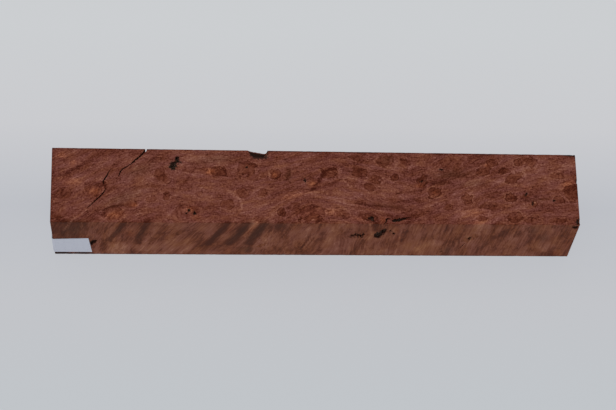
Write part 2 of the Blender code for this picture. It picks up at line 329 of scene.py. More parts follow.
# %% Small shreds that make the big pockets ragged
# These only fray the mouths of the pockets above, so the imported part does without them.
SHREDS = (
    ("shred_a", "top", -34.0, 6.1, 0.34, 0.5, 0.9, -20),
    ("shred_b", "top", -34.95, 5.0, 0.42, 0.34, 0.8, 30),
    ("shred_c", "top", -33.3, 7.5, 0.26, 0.36, 0.6, 35),
    ("shred_d", "top", -33.3, 6.35, 0.5, 0.2, 0.6, -10),
    ("shred_e", "top", -34.6, 6.0, 0.2, 0.4, 0.6, 10),
    ("shred_g", "top", -34.2, 4.5, 0.4, 0.3, 0.7, 0),
    ("shred_h", "front", 15.75, 13.7, 0.5, 0.7, 1.4, -20),
    ("shred_i", "front", 14.7, 12.6, 0.4, 1.1, 1.2, -8),
    ("shred_j", "front", 16.6, 14.2, 0.36, 0.9, 1.0, -12),
    ("shred_k", "front", 15.3, 11.2, 0.4, 0.5, 0.9, 0),
    ("shred_l", "front", 16.7, 15.6, 0.26, 0.7, 0.8, -15),
    ("shred_m", "front", 14.95, 14.0, 0.22, 0.5, 0.7, 10),
    ("shred_p", "top", 13.6, -8.6, 0.2, 0.3, 0.5, 20),
    ("shred_q", "top", 12.6, -8.2, 0.3, 0.14, 0.4, 15),
    ("shred_r", "front", 9.0, 12.2, 0.16, 0.5, 0.6, -5),
    ("shred_s", "front", 9.7, 12.7, 0.16, 0.7, 0.6, -5),
    ("shred_t", "front", 10.5, 12.2, 0.18, 0.8, 0.7, -5),
    ("shred_u", "front", 11.6, 12.7, 0.18, 0.9, 0.7, -5),
    ("shred_v", "front", -53.9, 7.3, 0.4, 1.2, 0.9, -15),
    ("shred_w", "front", -53.1, 8.2, 0.3, 0.6, 0.7, -15),
)

# %% Stains and painted shade without a hollow
# Dark resin on the corner of the back edge and along the lip of the notch. Round the deep pocket
# and on the strip of wood below the label the same dark is painted shade: the pocket's shadow on
# the top and the label's shadow. The columns are those of the pockets, and the depth is nought.
STAINS_AND_PAINTED_SHADE = (
    ("corner", "top", 62.3, 9.35, 1.3, 0.32, 0.0, -4),
    # painted shadow round the deep pocket
    ("pocket_painted_shadow", "top", -34.35, 5.5, 0.8, 0.8, 0.0, -10),
    ("notch_lip", "top", -13.6, 8.0, 1.75, 0.62, 0.0, -3),
    ("notch_tear", "top", -15.45, 8.5, 0.7, 0.45, 0.0, -50),
    ("notch_corner", "top", -11.85, 9.3, 0.3, 0.5, 0.0, 0),
    # painted shadow of the label on the strip of wood below it
    ("label_shadow_left", "front", -61.9, 0.7, 2.0, 0.75, 0.0, 0),
    ("label_shadow_right", "front", -56.4, 0.9, 1.9, 0.5, 0.0, 0),
)

# %% Where the cracks run
# name, face, lean along the fibres, and points: along, across, width at the face, depth
CRACKS = (
    ("crack_back", "top", 0.0, (
        (-40.55, 10.6, 0.62, 8.5), (-41.1, 9.4, 0.58, 8.0), (-41.75, 8.55, 0.44, 6.6),
        (-42.45, 7.7, 0.5, 5.4), (-43.3, 6.95, 0.4, 4.4), (-44.1, 6.15, 0.44, 3.8),
        (-44.75, 5.5, 0.18, 3.0), (-45.4, 5.0, 0.26, 2.8), (-46.45, 4.35, 0.34, 2.6),
        (-47.0, 3.6, 0.34, 2.2), (-47.5, 2.3, 0.14, 1.0),
    )),
    ("crack_middle", "top", 0.3, (
        (-49.3, 4.2, 0.12, 0.9), (-49.9, 3.2, 0.26, 2.0), (-50.55, 1.85, 0.36, 2.6),
        (-51.0, 0.95, 0.36, 2.4), (-50.85, 0.2, 0.14, 1.0),
    )),
    ("crack_front", "top", 0.3, (
        (-50.35, -0.95, 0.2, 1.2), (-50.75, -1.9, 0.34, 2.2), (-51.6, -3.0, 0.32, 2.6),
        (-52.5, -3.9, 0.3, 2.6), (-53.45, -4.9, 0.28, 2.2), (-54.55, -6.1, 0.14, 0.9),
    )),
    ("slot_hook", "top", 0.0, (
        (15.9, -9.75, 0.14, 0.5), (16.65, -9.15, 0.34, 1.0), (16.8, -8.5, 0.42, 1.3),
        (17.15, -8.1, 0.3, 1.0), (17.9, -8.3, 0.2, 0.8),
    )),
    ("slot", "top", 0.0, (
        (18.1, -8.8, 0.4, 1.3), (18.9, -8.6, 0.9, 2.2), (19.9, -8.42, 0.84, 2.4),
        (20.7, -8.28, 0.64, 1.8), (21.5, -8.05, 0.26, 1.0), (22.8, -7.7, 0.12, 0.5),
    )),
    ("front_tear", "front", 0.0, (
        (8.5, 12.45, 0.3, 0.7), (9.3, 12.3, 0.5, 1.3), (10.2, 12.5, 0.62, 1.6),
        (11.1, 12.35, 0.86, 1.6), (12.1, 12.9, 0.3, 0.7),
    )),
    ("front_tear_foot", "front", 0.0, (
        (10.85, 12.2, 0.34, 1.2), (11.2, 11.55, 0.5, 1.2), (11.3, 10.8, 0.18, 0.6),
    )),
    ("front_check", "front", 0.0, (
        (36.95, 8.1, 0.12, 0.4), (36.55, 6.7, 0.22, 0.8), (36.2, 5.6, 0.2, 0.8),
        (35.6, 4.1, 0.1, 0.4),
    )),
    ("back_check", "back", 0.0, (
        (-6.2, 15.6, 0.12, 0.6), (-7.1, 13.2, 0.26, 1.4), (-8.3, 10.9, 0.3, 1.8),
        (-9.1, 8.8, 0.2, 1.2), (-9.5, 7.2, 0.1, 0.5),
    )),
    ("under_check", "bottom", 0.0, (
        (7.6, -1.4, 0.12, 0.6), (9.6, -0.8, 0.26, 1.4), (12.0, 0.3, 0.32, 1.8),
        (14.1, 0.9, 0.2, 1.2), (15.7, 1.9, 0.1, 0.5),
    )),
)

# %% A frame on any face


def face_frame(face, along, across):
    """A spot on a face as a matrix in mm: X along the face, Y across it, Z out of the wood."""
    half = half_width(along)
    axes_and_place = {
        "top": ((1, 0, 0), (0, 1, 0), (along, across, HEIGHT)),
        "bottom": ((1, 0, 0), (0, -1, 0), (along, across, 0)),
        "front": ((1, 0, 0), (0, 0, 1), (along, -half, across)),
        "back": ((-1, 0, 0), (0, 0, 1), (along, half, across)),
        "right": ((0, 1, 0), (0, 0, 1), (LENGTH / 2, along, across)),
        "left": ((0, -1, 0), (0, 0, 1), (-LENGTH / 2, along, across)),
    }
    along_axis, across_axis, place = (Vector(row) for row in axes_and_place[face])
    turn = Matrix((along_axis, across_axis, along_axis.cross(across_axis))).transposed()
    return Matrix.Translation(place) @ turn.to_4x4()


# %% An egg for a pocket
# A slow noise makes the egg lumpy and a quick one tears its skin.
DEEP_POCKET = 1.5
LUMPY, LUMP_WAVE = 0.28, 1.7
TORN, TEAR_WAVE = 0.2, 5.2


def pocket_tool(pocket, collection):
    """A lumpy egg with a torn skin, sunk in a face."""
    name, face, along, across, half_along, half_across, depth, turn = pocket
    bm = bmesh.new()
    levels = 4 if depth > DEEP_POCKET else 3
    bmesh.ops.create_icosphere(bm, subdivisions=levels, radius=1.0)
    shift = Vector((along, across, depth))
    for vert in bm.verts:
        lump = LUMPY * noise.noise(vert.co * LUMP_WAVE + shift)
        torn = TORN * noise.noise(vert.co * TEAR_WAVE - shift)
        vert.co *= 1.0 + lump + torn
    bmesh.ops.scale(bm, verts=bm.verts, vec=(half_along, half_across, depth))
    place = face_frame(face, along, across) @ Matrix.Rotation(math.radians(turn), 4, "Z")
    bmesh.ops.transform(bm, matrix=place, verts=bm.verts)
    return object_from(f"tool_{name}", bm, collection)


# %% The ragged mouth of a crack
CRACK_STEP = 0.22
CRACK_RAGGED = 0.09
CRACK_WIDTHS = (0.65, 1.25)


def crack_line(points, rng):
    """The crack's mouth with more points than it was noted with, and a ragged course."""
    fine = []
    for near, far in zip(points, points[1:]):
        count = max(1, round(math.dist(near[:2], far[:2]) / CRACK_STEP))
        for step in range(count):
            share = step / count
            mixed = [a + (b - a) * share for a, b in zip(near, far)]
            if step > 0:
                mixed[0] += rng.uniform(-CRACK_RAGGED, CRACK_RAGGED)
                mixed[1] += rng.uniform(-CRACK_RAGGED, CRACK_RAGGED)
                mixed[2] *= rng.uniform(*CRACK_WIDTHS)
            fine.append(tuple(mixed))
    fine.append(points[-1])
    return fine


# %% A ribbon for a crack
# The ribbon starts a little above the face and goes down in three steps: how much of the depth
# each one takes, and how much of the mouth's width is left below it. The new points of a step are
# kept in a list, because a set would hand them their random draws in another order each time.
CLEAR = 0.6
CRACK_STEPS_DOWN = ((0.2, 0.95), (0.35, 0.7), (0.45, 0.35))
CRACK_WANDER = 0.03


def crack_tool(crack, collection, rng):
    """A ribbon that follows the crack down into the wood, thickened most at its mouth."""
    name, face, lean, points = crack
    line = crack_line(points, rng)
    widest = max(point[2] for point in line)
    bm = bmesh.new()
    weights = bm.verts.layers.deform.new()
    rim = []
    for along, across, width, _ in line:
        vert = bm.verts.new(face_frame(face, along, across) @ Vector((0, 0, CLEAR)))
        vert[weights][0] = width / widest
        rim.append(vert)
    edges = [bm.edges.new(pair) for pair in zip(rim, rim[1:])]
    outward = face_frame(face, *points[0][:2]).to_3x3().col[2]
    down = -outward - Vector((lean * GRAIN_LEAN * outward.z, 0, 0))
    flat = [face_frame(face, along, across).translation for along, across, _, _ in line]
    for step, (share, narrowing) in enumerate(CRACK_STEPS_DOWN):
        grown = bmesh.ops.extrude_edge_only(bm, edges=edges)["geom"]
        fresh = [item for item in grown if isinstance(item, bmesh.types.BMVert)]
        edges = [item for item in grown if isinstance(item, bmesh.types.BMEdge)]
        edges = [edge for edge in edges if all(vert in fresh for vert in edge.verts)]
        for vert in fresh:
            offsets = [place - vert.co for place in flat]
            sideways = [(offset - outward * offset.dot(outward)).length for offset in offsets]
            nearest = line[sideways.index(min(sideways))]
            fall = share * nearest[3] + (CLEAR if step == 0 else 0)
            wander = Vector((rng.uniform(-1, 1), rng.uniform(-1, 1), 0)) * CRACK_WANDER
            wander -= outward * wander.dot(outward)
            vert.co += down * fall + wander
            vert[weights][0] = narrowing * nearest[2] / widest
    ribbon = object_from(f"tool_{name}", bm, collection)
    ribbon.vertex_groups.new(name="width")
    wall = ribbon.modifiers.new("width", "SOLIDIFY")
    wall.thickness = widest * MM
    wall.offset = 0.0
    wall.vertex_group = "width"
    return ribbon


# %% The rim and the floor of the notch
# along, front rim across, depth at the back face
NOTCH = (
    (-16.75, 9.95, 0.0),
    (-16.35, 9.2, 0.35),
    (-15.75, 8.35, 0.75),
    (-15.1, 7.75, 1.05),
    (-14.2, 7.6, 1.4),
    (-13.4, 7.65, 1.7),
    (-12.7, 7.6, 1.95),
    (-12.15, 8.3, 2.1),
    (-11.8, 9.1, 1.2),
    (-11.5, 9.95, 0.0),
)
NOTCH_BACK = 10.7
# share of the way back, share of the depth reached there
NOTCH_FALL = ((0.0, -0.4), (0.12, 0.62), (0.4, 0.9), (0.7, 0.96), (1.0, 1.0))
NOTCH_GRID = (44, 26)
NOTCH_ROUGHNESS, NOTCH_WAVE = 0.12, 2.3
NOTCH_SPLINTERS = 0.07


def between(table, place):
    """Reads a table of (place, value, ...) rows at any place, in straight runs."""
    for near, far in zip(table, table[1:]):
        if place <= far[0]:
            share = max(0.0, (place - near[0]) / (far[0] - near[0]))
            return [a + (b - a) * share for a, b in zip(near[1:], far[1:])]
    return list(table[-1][1:])


# %% A grid with a lid for the notch


def notch_tool(collection):
    """The torn notch: a rough sloping floor, closed by a lid above the top face."""
    bm = bmesh.new()
    bmesh.ops.create_grid(bm, x_segments=NOTCH_GRID[0], y_segments=NOTCH_GRID[1], size=0.5)
    for vert in bm.verts:
        share_along, share_back = vert.co.x + 0.5, vert.co.y + 0.5
        along = NOTCH[0][0] + (NOTCH[-1][0] - NOTCH[0][0]) * share_along
        rim, depth = between(NOTCH, along)
        (deep,) = between(NOTCH_FALL, share_back)
        across = rim + (NOTCH_BACK - rim) * share_back
        rough = NOTCH_ROUGHNESS * noise.noise(Vector((along, across, 3.0)) * NOTCH_WAVE)
        rough += NOTCH_SPLINTERS * noise.noise(Vector((along * 6.0, across * 1.6, 8.0)))
        fall = deep * depth + rough * min(depth, 1.0) if deep > 0 else deep
        vert.co = Vector((along, across, HEIGHT - fall))
    lid = bmesh.ops.extrude_face_region(bm, geom=bm.faces[:], use_keep_orig=True)["geom"]
    for item in lid:
        if isinstance(item, bmesh.types.BMVert):
            item.co.z = HEIGHT + 2 * CLEAR
    bmesh.ops.recalc_face_normals(bm, faces=bm.faces)
    return object_from("tool_notch", bm, collection)


# %% Cut them all out of the stick


def settle(piece):
    """Makes what the modifiers show the piece's own mesh."""
    bpy.context.view_layer.update()
    graph = bpy.context.evaluated_depsgraph_get()
    mesh = bpy.data.meshes.new_from_object(piece.evaluated_get(graph), depsgraph=graph)
    piece.modifiers.clear()
    piece.data = mesh
    mesh.name = piece.name


SEED = 7


def cut_hollows(piece):
    """Cuts every pocket, crack and the notch out of the piece, then puts the tools away."""
    tools = bpy.data.collections.new("tools")
    bpy.context.scene.collection.children.link(tools)
    rng = random.Random(SEED)
    for pocket in (*POCKETS, *SHREDS):
        pocket_tool(pocket, tools)
    for crack in CRACKS:
        crack_tool(crack, tools, rng)
    notch_tool(tools)
    cut = piece.modifiers.new("hollows", "BOOLEAN")
    cut.operation = "DIFFERENCE"
    cut.operand_type = "COLLECTION"
    cut.collection = tools
    cut.solver = "EXACT"
    settle(piece)
    for tool in list(tools.objects):
        bpy.data.objects.remove(tool, do_unlink=True)
    bpy.data.collections.remove(tools)


cut_hollows(stick)
triangles = sum(len(face.vertices) - 2 for face in stick.data.polygons)
print("stick with its hollows:", triangles, "triangles")

# %% [markdown]
# ## The figure of the burl
# Sawn burl shows dark eyes, where the saw crosses a bud, and fibres that part round each eye like
# water round a stone. The long sides show the same fibres lengthwise, as slanted streaks. A noise
# texture alone never looks like that. So the figure is noted as a list of eyes, streaks and
# patches in millimetres, and the script works out for every point of the mesh how far it is from
# them. These fields are smooth, so 0.4 mm between points is enough, and the material adds what is
# finer.

# %% The eyes on the top and on the front
# along, across, half length, half width, turn in degrees, how dark
TOP_EYES = (
    (-60.3, -2.4, 2.0, 1.5, 10, 0.35), (-59.6, -7.0, 1.3, 1.0, 0, 0.3),
    (-53.1, -1.5, 1.9, 1.4, 12, 0.5), (-48.4, -7.4, 2.6, 1.6, 8, 0.55),
    (-44.0, 2.1, 1.7, 1.2, 0, 0.35), (-44.2, -4.8, 1.3, 1.0, 10, 0.6),
    (-39.6, -3.6, 1.2, 0.9, 0, 0.7), (-37.6, 2.8, 1.1, 1.7, 10, 0.7),
    (-36.0, 1.5, 1.0, 1.0, 0, 0.7), (-35.8, -2.7, 0.95, 1.05, 0, 0.85),
    (-32.6, -7.4, 2.1, 1.9, 10, 0.45), (-29.8, -6.9, 1.9, 1.2, 5, 0.25),
    (-28.0, -2.2, 0.9, 0.7, 0, 0.5), (-23.4, 3.8, 1.6, 1.2, -8, 1.0),
    (-21.4, -4.9, 1.7, 1.2, 0, 0.75), (-17.6, -1.9, 1.6, 1.2, 0, 0.7),
    (-16.9, 4.5, 2.2, 1.8, 0, 0.8), (-15.2, 2.4, 1.4, 0.9, 0, 0.5), (-13.2, 3.2, 0.9, 0.8, 0, 0.55),
    (-12.9, -1.6, 1.3, 1.0, 15, 0.85), (-13.8, -8.5, 1.0, 0.9, 0, 0.6),
    (-9.7, 3.1, 1.2, 1.3, 0, 0.8), (-8.3, -6.7, 1.0, 1.1, 0, 0.95),
    (-5.2, -5.2, 1.4, 1.1, 10, 0.55), (-1.3, -7.0, 3.3, 2.0, 8, 0.72),
    (-0.8, 1.4, 1.5, 1.1, 20, 0.55), (3.4, 3.7, 2.0, 1.4, 15, 0.9), (3.6, -1.5, 1.4, 0.8, 0, 0.5),
    (6.4, -6.9, 1.4, 0.9, 0, 0.55), (8.75, 1.4, 1.4, 0.85, -12, 0.65),
    (10.4, 8.2, 2.0, 1.1, 0, 0.6), (10.6, 4.0, 1.8, 1.2, -10, 0.65),
    (14.2, 2.3, 1.5, 1.2, -20, 0.75), (13.1, 0.1, 1.4, 1.1, -15, 0.7),
    (12.9, -8.0, 1.5, 1.0, 0, 0.6), (17.0, 7.3, 1.9, 1.6, 0, 0.75), (19.2, 2.8, 0.95, 0.9, 0, 0.95),
    (21.6, 6.4, 1.3, 1.2, 0, 0.8), (25.8, 1.9, 1.3, 1.6, -15, 0.75), (27.3, 8.0, 1.0, 1.1, 0, 0.5),
    (28.6, -1.3, 1.75, 1.2, 25, 1.0), (33.1, 6.7, 2.6, 1.7, 10, 0.45),
    (32.0, -5.0, 1.2, 0.85, 0, 0.7), (36.5, -2.4, 1.2, 1.05, 10, 1.0),
    (36.6, -4.0, 0.95, 0.7, 0, 0.65), (39.6, -7.8, 1.3, 0.75, 5, 0.95),
    (41.8, -4.5, 2.1, 0.85, 3, 0.6), (40.6, 4.6, 1.8, 0.95, 20, 0.95),
    (42.9, 6.7, 1.3, 1.05, 10, 0.85), (45.7, 4.8, 1.15, 0.8, 12, 0.75),
    (48.2, 3.0, 2.3, 1.15, 32, 0.9), (49.2, 7.1, 1.0, 1.0, 20, 1.0),
    (52.1, 7.3, 1.9, 1.3, 15, 0.85), (47.1, -2.5, 1.3, 1.2, 10, 1.0),
    (47.6, -7.6, 1.9, 1.3, 10, 0.85), (52.0, -8.3, 1.8, 0.8, 5, 0.6),
    (52.7, -3.9, 0.75, 0.7, 0, 0.8), (58.7, 3.6, 1.6, 0.85, 8, 0.85),
    (58.9, -2.9, 1.2, 0.95, 0, 0.75), (62.3, -1.0, 2.3, 1.9, -20, 0.8),
    (58.5, -8.4, 2.0, 0.75, 0, 0.6),
)
FRONT_EYES = (
    (37.9, 11.0, 1.2, 2.4, -15, 0.9), (-12.8, 6.0, 0.9, 1.3, -20, 1.1),
    (-34.0, 12.0, 0.9, 3.0, -25, 0.5), (10.2, 12.2, 2.2, 1.3, 0, 0.5),
    (-45.0, 13.0, 0.6, 1.8, -15, 0.6),
)

# %% Streaks on the top
# half width, strength (dark below nought, light above), and points: along, across
TOP_STREAKS = (
    (0.6, -0.9, ((-59.8, 3.0), (-56.8, 5.0), (-53.5, 7.2), (-50.9, 8.9))),
    (0.4, -0.8, ((-49.0, 4.6), (-48.2, 5.7), (-46.3, 7.1))),
    (0.45, -0.7, ((-56.4, 0.8), (-55.2, 1.75), (-52.9, 2.7))),
    (0.4, -0.7, ((-63.2, 6.7), (-60.0, 6.5))),
    (0.35, -0.5, ((-63.0, 2.4), (-59.0, 2.1))),
    (0.8, -0.9, ((-63.2, -7.8), (-61.6, -8.2), (-60.2, -9.6))),
    (0.5, -1.2, ((-50.6, -6.6), (-48.6, -5.6), (-46.0, -5.1))),
    (0.6, -1.1, ((-55.2, 0.2), (-53.2, 0.4), (-51.6, 0.0))),
    (0.35, -0.7, ((-32.6, -0.6), (-31.0, 1.5), (-29.7, 4.1), (-28.3, 5.4))),
    (0.5, -0.95, ((-7.1, 1.8), (-6.7, 3.2), (-6.4, 4.7))),
    (0.2, -0.8, ((-5.6, 4.7), (-4.5, 5.3), (-3.2, 5.9))),
    (0.5, -1.35, ((-0.8, -0.6), (0.6, 1.0), (1.5, 3.2), (2.7, 4.8), (5.0, 5.1))),
    (0.4, -0.8, ((-3.0, -1.4), (-0.2, -0.5), (2.6, 0.4), (4.9, 1.2), (6.3, 2.8))),
    (0.4, -0.6, ((-9.2, -2.0), (-8.2, -1.3), (-7.0, -0.8))),
    (0.18, -0.8, ((4.5, -7.8), (6.1, -7.6), (7.8, -7.8))),
    (0.7, -0.6, ((9.6, -3.9), (12.8, -5.0), (16.5, -4.9), (20.4, -5.6))),
    (0.35, -0.7, ((15.0, -1.0), (18.6, -1.7), (22.0, -1.3), (26.2, -0.4))),
    (0.3, -0.7, ((17.0, -3.0), (20.5, -3.4), (25.0, -2.8))),
    (0.3, -0.6, ((21.0, -7.9), (23.5, -7.5), (27.5, -6.3))),
    (0.8, -0.8, ((30.8, 4.2), (33.3, 3.9), (36.0, 3.5), (38.8, 2.9))),
    (0.4, -0.7, ((27.6, 1.0), (30.4, 1.7), (33.8, 0.8))),
    (0.4, -0.6, ((35.2, -5.2), (36.2, -5.5), (37.0, -5.0))),
    (0.18, -0.9, ((44.6, 3.1), (45.8, 3.2), (47.0, 3.5))),
    (0.2, -0.9, ((49.6, -2.4), (51.6, -3.2), (53.6, -2.7), (56.4, -2.5))),
    (0.22, -0.6, ((40.2, -4.6), (41.6, -4.4), (43.4, -4.5))),
    (0.3, -0.6, ((60.2, 8.6), (61.6, 8.5), (63.2, 8.4))),
    (0.5, -0.6, ((-22.0, -0.6), (-19.0, 0.1), (-15.6, -0.3))),
    (0.18, 1.3, ((-54.9, -6.5), (-56.5, -8.0), (-58.3, -9.6))),
    (0.16, 0.7, ((-46.2, -5.6), (-45.9, -7.2), (-45.2, -8.9))),
    (0.16, 0.6, ((-47.5, 1.9), (-47.3, 0.9))),
    (0.2, 1.6, ((-21.4, -0.8), (-19.6, -2.2), (-18.2, -3.4), (-17.8, -4.8), (-18.1, -6.3))),
    (0.18, 1.2, ((-10.3, 4.5), (-11.1, 3.7), (-11.2, 2.6), (-10.6, 1.8))),
    (0.6, 0.6, ((-11.2, -9.0), (-10.0, -5.8), (-7.4, -3.3), (-4.4, -2.2), (0.2, -1.3))),
    (0.3, 0.6, ((-1.0, -2.3), (3.0, -2.8), (8.0, -4.2), (14.0, -6.0), (20.0, -6.6))),
    (0.2, 0.7, ((4.6, -4.0), (4.0, -5.2), (4.0, -6.5))),
    (0.16, 0.8, ((7.0, 1.2), (7.9, 2.3), (9.4, 2.2))),
    (0.16, 0.8, ((7.4, 0.8), (8.6, 0.3), (10.0, 0.6))),
    (0.25, 0.6, ((8.4, -0.8), (11.6, -1.3), (15.0, -1.9), (19.0, -0.6))),
    (0.4, 0.6, ((11.0, 6.2), (14.6, 5.4), (19.0, 5.0), (23.0, 5.6))),
    (0.3, 0.5, ((23.6, -6.2), (27.0, -4.9), (30.2, -3.2), (33.0, -1.9), (35.0, -0.4))),
    (0.22, 0.6, ((29.0, -7.6), (33.0, -6.8), (35.4, -5.0), (38.0, -4.2))),
    (0.16, 0.8, ((38.6, 4.0), (40.4, 3.5), (42.3, 4.3))),
    (0.16, 0.8, ((44.3, 4.1), (45.6, 3.8), (47.0, 4.2))),
    (0.35, 0.6, ((36.0, 1.4), (40.0, 2.6), (44.6, 1.9), (49.0, 0.8))),
    (0.16, 0.7, ((50.2, 8.5), (51.0, 6.9), (52.6, 5.9))),
    (0.25, 0.6, ((42.6, -8.8), (45.2, -6.6), (49.0, -5.2), (53.0, -5.4))),
    (0.3, 0.9, ((59.2, 0.9), (60.2, -1.2), (61.6, -2.8), (63.3, -4.2))),
    (0.9, 0.5, ((54.0, 5.6), (57.6, 6.6), (62.8, 5.8))),
    (0.7, -0.6, ((-63.5, 9.0), (-63.3, 0.0), (-63.5, -9.0))),
    (1.4, -0.45, ((-60.0, 8.8), (-54.0, 8.4), (-49.0, 9.2))),
    (1.0, 0.5, ((-45.8, 1.6), (-42.6, 2.2))),
    (1.2, 0.45, ((-24.4, -7.4), (-20.6, -7.2))),
    (1.0, -0.5, ((-28.4, -5.2), (-24.6, -4.8))),
    (0.6, -0.6, ((-30.4, 5.6), (-27.0, 6.0))),
    (0.3, -2.2, ((-51.0, 0.7), (-50.8, 0.2), (-50.5, -0.4), (-50.4, -0.9))),
    (0.5, -1.2, ((-32.4, -5.0), (-31.0, -5.3), (-29.8, -5.7))),
    # a dark line along the whole back edge of the top: painted shade at the edge
    (0.4, -0.9, ((-63.5, 9.8), (0.0, 9.6), (63.5, 9.35))),
    (1.0, 0.35, ((35.6, -6.8), (39.6, -6.2), (43.0, -7.0))),
    (2.4, 0.3, ((38.0, -2.0), (44.0, 0.4), (50.0, 2.4))),
    (2.8, 0.35, ((51.0, 5.0), (56.0, 4.6), (60.0, 7.6))),
    (2.4, -0.4, ((23.6, 3.8), (29.0, 3.2), (37.0, 5.6))),
    (1.6, -0.4, ((15.0, 3.8), (19.6, 3.0))),
    (1.6, 0.35, ((1.0, -6.4), (5.0, -5.0), (9.0, -6.4))),
    (1.4, 0.35, ((-12.0, 6.6), (-8.6, 6.0))),
    (1.5, 0.35, ((34.6, -7.4), (38.4, -6.6))),
    (0.7, -0.4, ((-57.0, 4.4), (-52.6, 2.8))),
    (1.0, -0.4, ((27.6, -7.0), (33.2, -6.4))),
    (0.9, 0.35, ((38.0, -3.2), (46.0, -4.0), (51.0, -4.6))),
    (1.0, 0.4, ((-31.4, -5.2), (-27.6, -5.6))),
    (0.8, -0.4, ((14.6, 4.6), (19.0, 4.0))),
    (0.9, 0.5, ((-31.0, 7.0), (-27.0, 7.4), (-22.0, 6.8))),
    (0.8, 0.4, ((-57.0, -4.4), (-53.0, -7.0), (-51.4, -9.2))),
    (0.35, -1.4, ((60.9, 9.3), (63.4, 9.1))),
)

# %% Streaks on the long face that shows
# The same columns. Across is the height over the floor here.
FRONT_STREAKS = (
    (3.8, -0.7, ((-58.0, 19.6), (-59.0, 14.6), (-60.0, 10.0))),
    (1.0, -0.8, ((-62.6, 19.4), (-63.6, 13.0))),
    (0.75, -1.2, ((-45.6, 19.2), (-47.4, 14.2), (-49.0, 10.5), (-49.9, 8.6))),
    (0.8, -0.9, ((-40.2, 19.4), (-41.7, 13.4), (-42.6, 10.2), (-42.8, 7.0))),
    (0.9, -1.2, ((-21.2, 19.2), (-22.6, 15.1), (-23.6, 12.3), (-24.7, 9.8), (-25.6, 6.6))),
    (1.2, -1.35, ((-16.9, 19.2), (-18.1, 14.6), (-19.75, 9.8), (-20.6, 7.0))),
    (1.25, -1.35, ((-12.5, 19.2), (-13.5, 15.1), (-14.6, 11.2), (-15.9, 7.2))),
    (1.3, -0.35, ((-8.4, 19.2), (-8.8, 16.0))),
    (0.22, -0.8, ((-5.4, 19.2), (-6.6, 15.5), (-7.3, 13.0), (-7.9, 10.6))),
    (0.3, -0.9, ((-1.1, 12.2), (-1.6, 9.4), (-2.3, 6.9), (-3.2, 3.6))),
    (0.8, -0.7, ((12.2, 9.4), (11.0, 5.0), (9.6, 1.0))),
    (0.5, -0.6, ((22.3, 19.2), (22.0, 15.0), (21.2, 9.0))),
    (0.5, -0.6, ((31.4, 19.2), (31.6, 15.6))),
    (1.4, -0.6, ((34.4, 13.0), (33.0, 7.0), (32.8, 1.0))),
    (0.7, -0.25, ((42.8, 19.2), (43.4, 12.0))),
    (0.6, -0.8, ((45.4, 15.0), (45.0, 12.6))),
    (0.8, -0.8, ((49.3, 14.8), (49.0, 12.2))),
    (0.8, -0.5, ((52.2, 17.6), (52.0, 15.0))),
    (1.5, -0.9, ((54.2, 4.0), (55.6, 2.2), (57.4, 1.2))),
    (0.9, -0.5, ((-16.0, 4.8), (-16.4, 2.0))),
    (0.9, -0.5, ((-36.0, 19.2), (-37.4, 13.0))),
    # the darkest strip below the label: painted shadow of the label
    (0.9, -1.6, ((-63.4, 0.4), (-60.4, 0.5))),
    (0.6, -0.9, ((-60.4, 0.5), (-54.6, 0.5))),
    # a dark line along the foot of the front: painted contact shadow
    (0.4, -0.8, ((-54.0, 0.05), (63.4, 0.05))),
    (0.2, 1.5, ((-58.5, 19.3), (-59.4, 16.8), (-60.4, 14.3))),
    (0.2, 0.8, ((12.9, 18.8), (13.1, 16.0), (13.5, 13.0))),
    (0.25, 0.9, ((-0.5, 12.0), (-1.1, 9.4), (-1.8, 6.9), (-2.6, 3.9))),
    (2.2, 0.8, ((-47.2, 5.4), (-47.6, 1.2))),
    (2.8, 0.8, ((28.4, 7.6), (27.6, 2.6))),
    (2.0, 0.5, ((40.0, 18.4), (39.6, 15.0))),
    (1.2, 0.6, ((-10.2, 13.0), (-11.2, 9.0))),
    (1.6, 0.5, ((4.6, 14.0), (3.6, 8.0), (3.0, 5.0))),
    (1.8, 0.5, ((16.6, 5.4), (16.2, 2.6))),
    (1.8, -0.3, ((-31.4, 9.0), (-33.0, 4.0))),
    (1.4, 0.4, ((46.8, 8.0), (46.2, 4.0))),
    (2.4, -0.4, ((-30.0, 18.0), (-31.6, 13.0))),
    (1.0, -0.5, ((-51.0, 9.0), (-51.6, 3.0))),
    (1.6, -0.45, ((-42.6, 6.0), (-44.4, 1.0))),
    (0.9, 0.5, ((-38.6, 16.0), (-40.6, 9.0), (-42.4, 3.0))),
    (0.7, 0.5, ((-26.4, 16.0), (-28.4, 9.0))),
    (1.0, 0.5, ((9.0, 10.0), (8.4, 4.0))),
    (1.6, -0.5, ((20.4, 9.0), (19.6, 4.4))),
    (1.0, -0.5, ((1.0, 18.0), (1.4, 13.0))),
    (1.2, 0.5, ((48.6, 4.6), (48.2, 2.0))),
    (0.7, 0.6, ((44.0, 10.0), (43.0, 4.0))),
    (1.2, -0.6, ((14.6, 18.8), (15.4, 15.6))),
    (1.0, -0.5, ((48.4, 19.2), (48.6, 16.0))),
    (1.2, -0.45, ((37.6, 15.5), (35.4, 11.0), (34.2, 4.0))),
    (2.0, -0.3, ((24.0, 7.0), (23.6, 3.4))),
    (1.0, 0.5, ((60.2, 4.0), (61.0, 1.4))),
    # another dark line along the foot of the front: painted contact shadow
    (0.4, -1.0, ((-63.5, 0.1), (63.5, 0.1))),
    (0.8, -0.8, ((14.3, 19.0), (13.9, 15.4))),
    (1.3, 0.7, ((45.0, 17.6), (43.6, 13.6))),
    (0.9, 0.7, ((33.0, 7.4), (32.3, 3.2))),
    (0.35, 0.8, ((-14.9, 19.0), (-15.9, 15.5), (-17.2, 11.5))),
    (0.5, 0.5, ((-19.6, 19.0), (-21.4, 13.0), (-22.6, 9.0))),
)

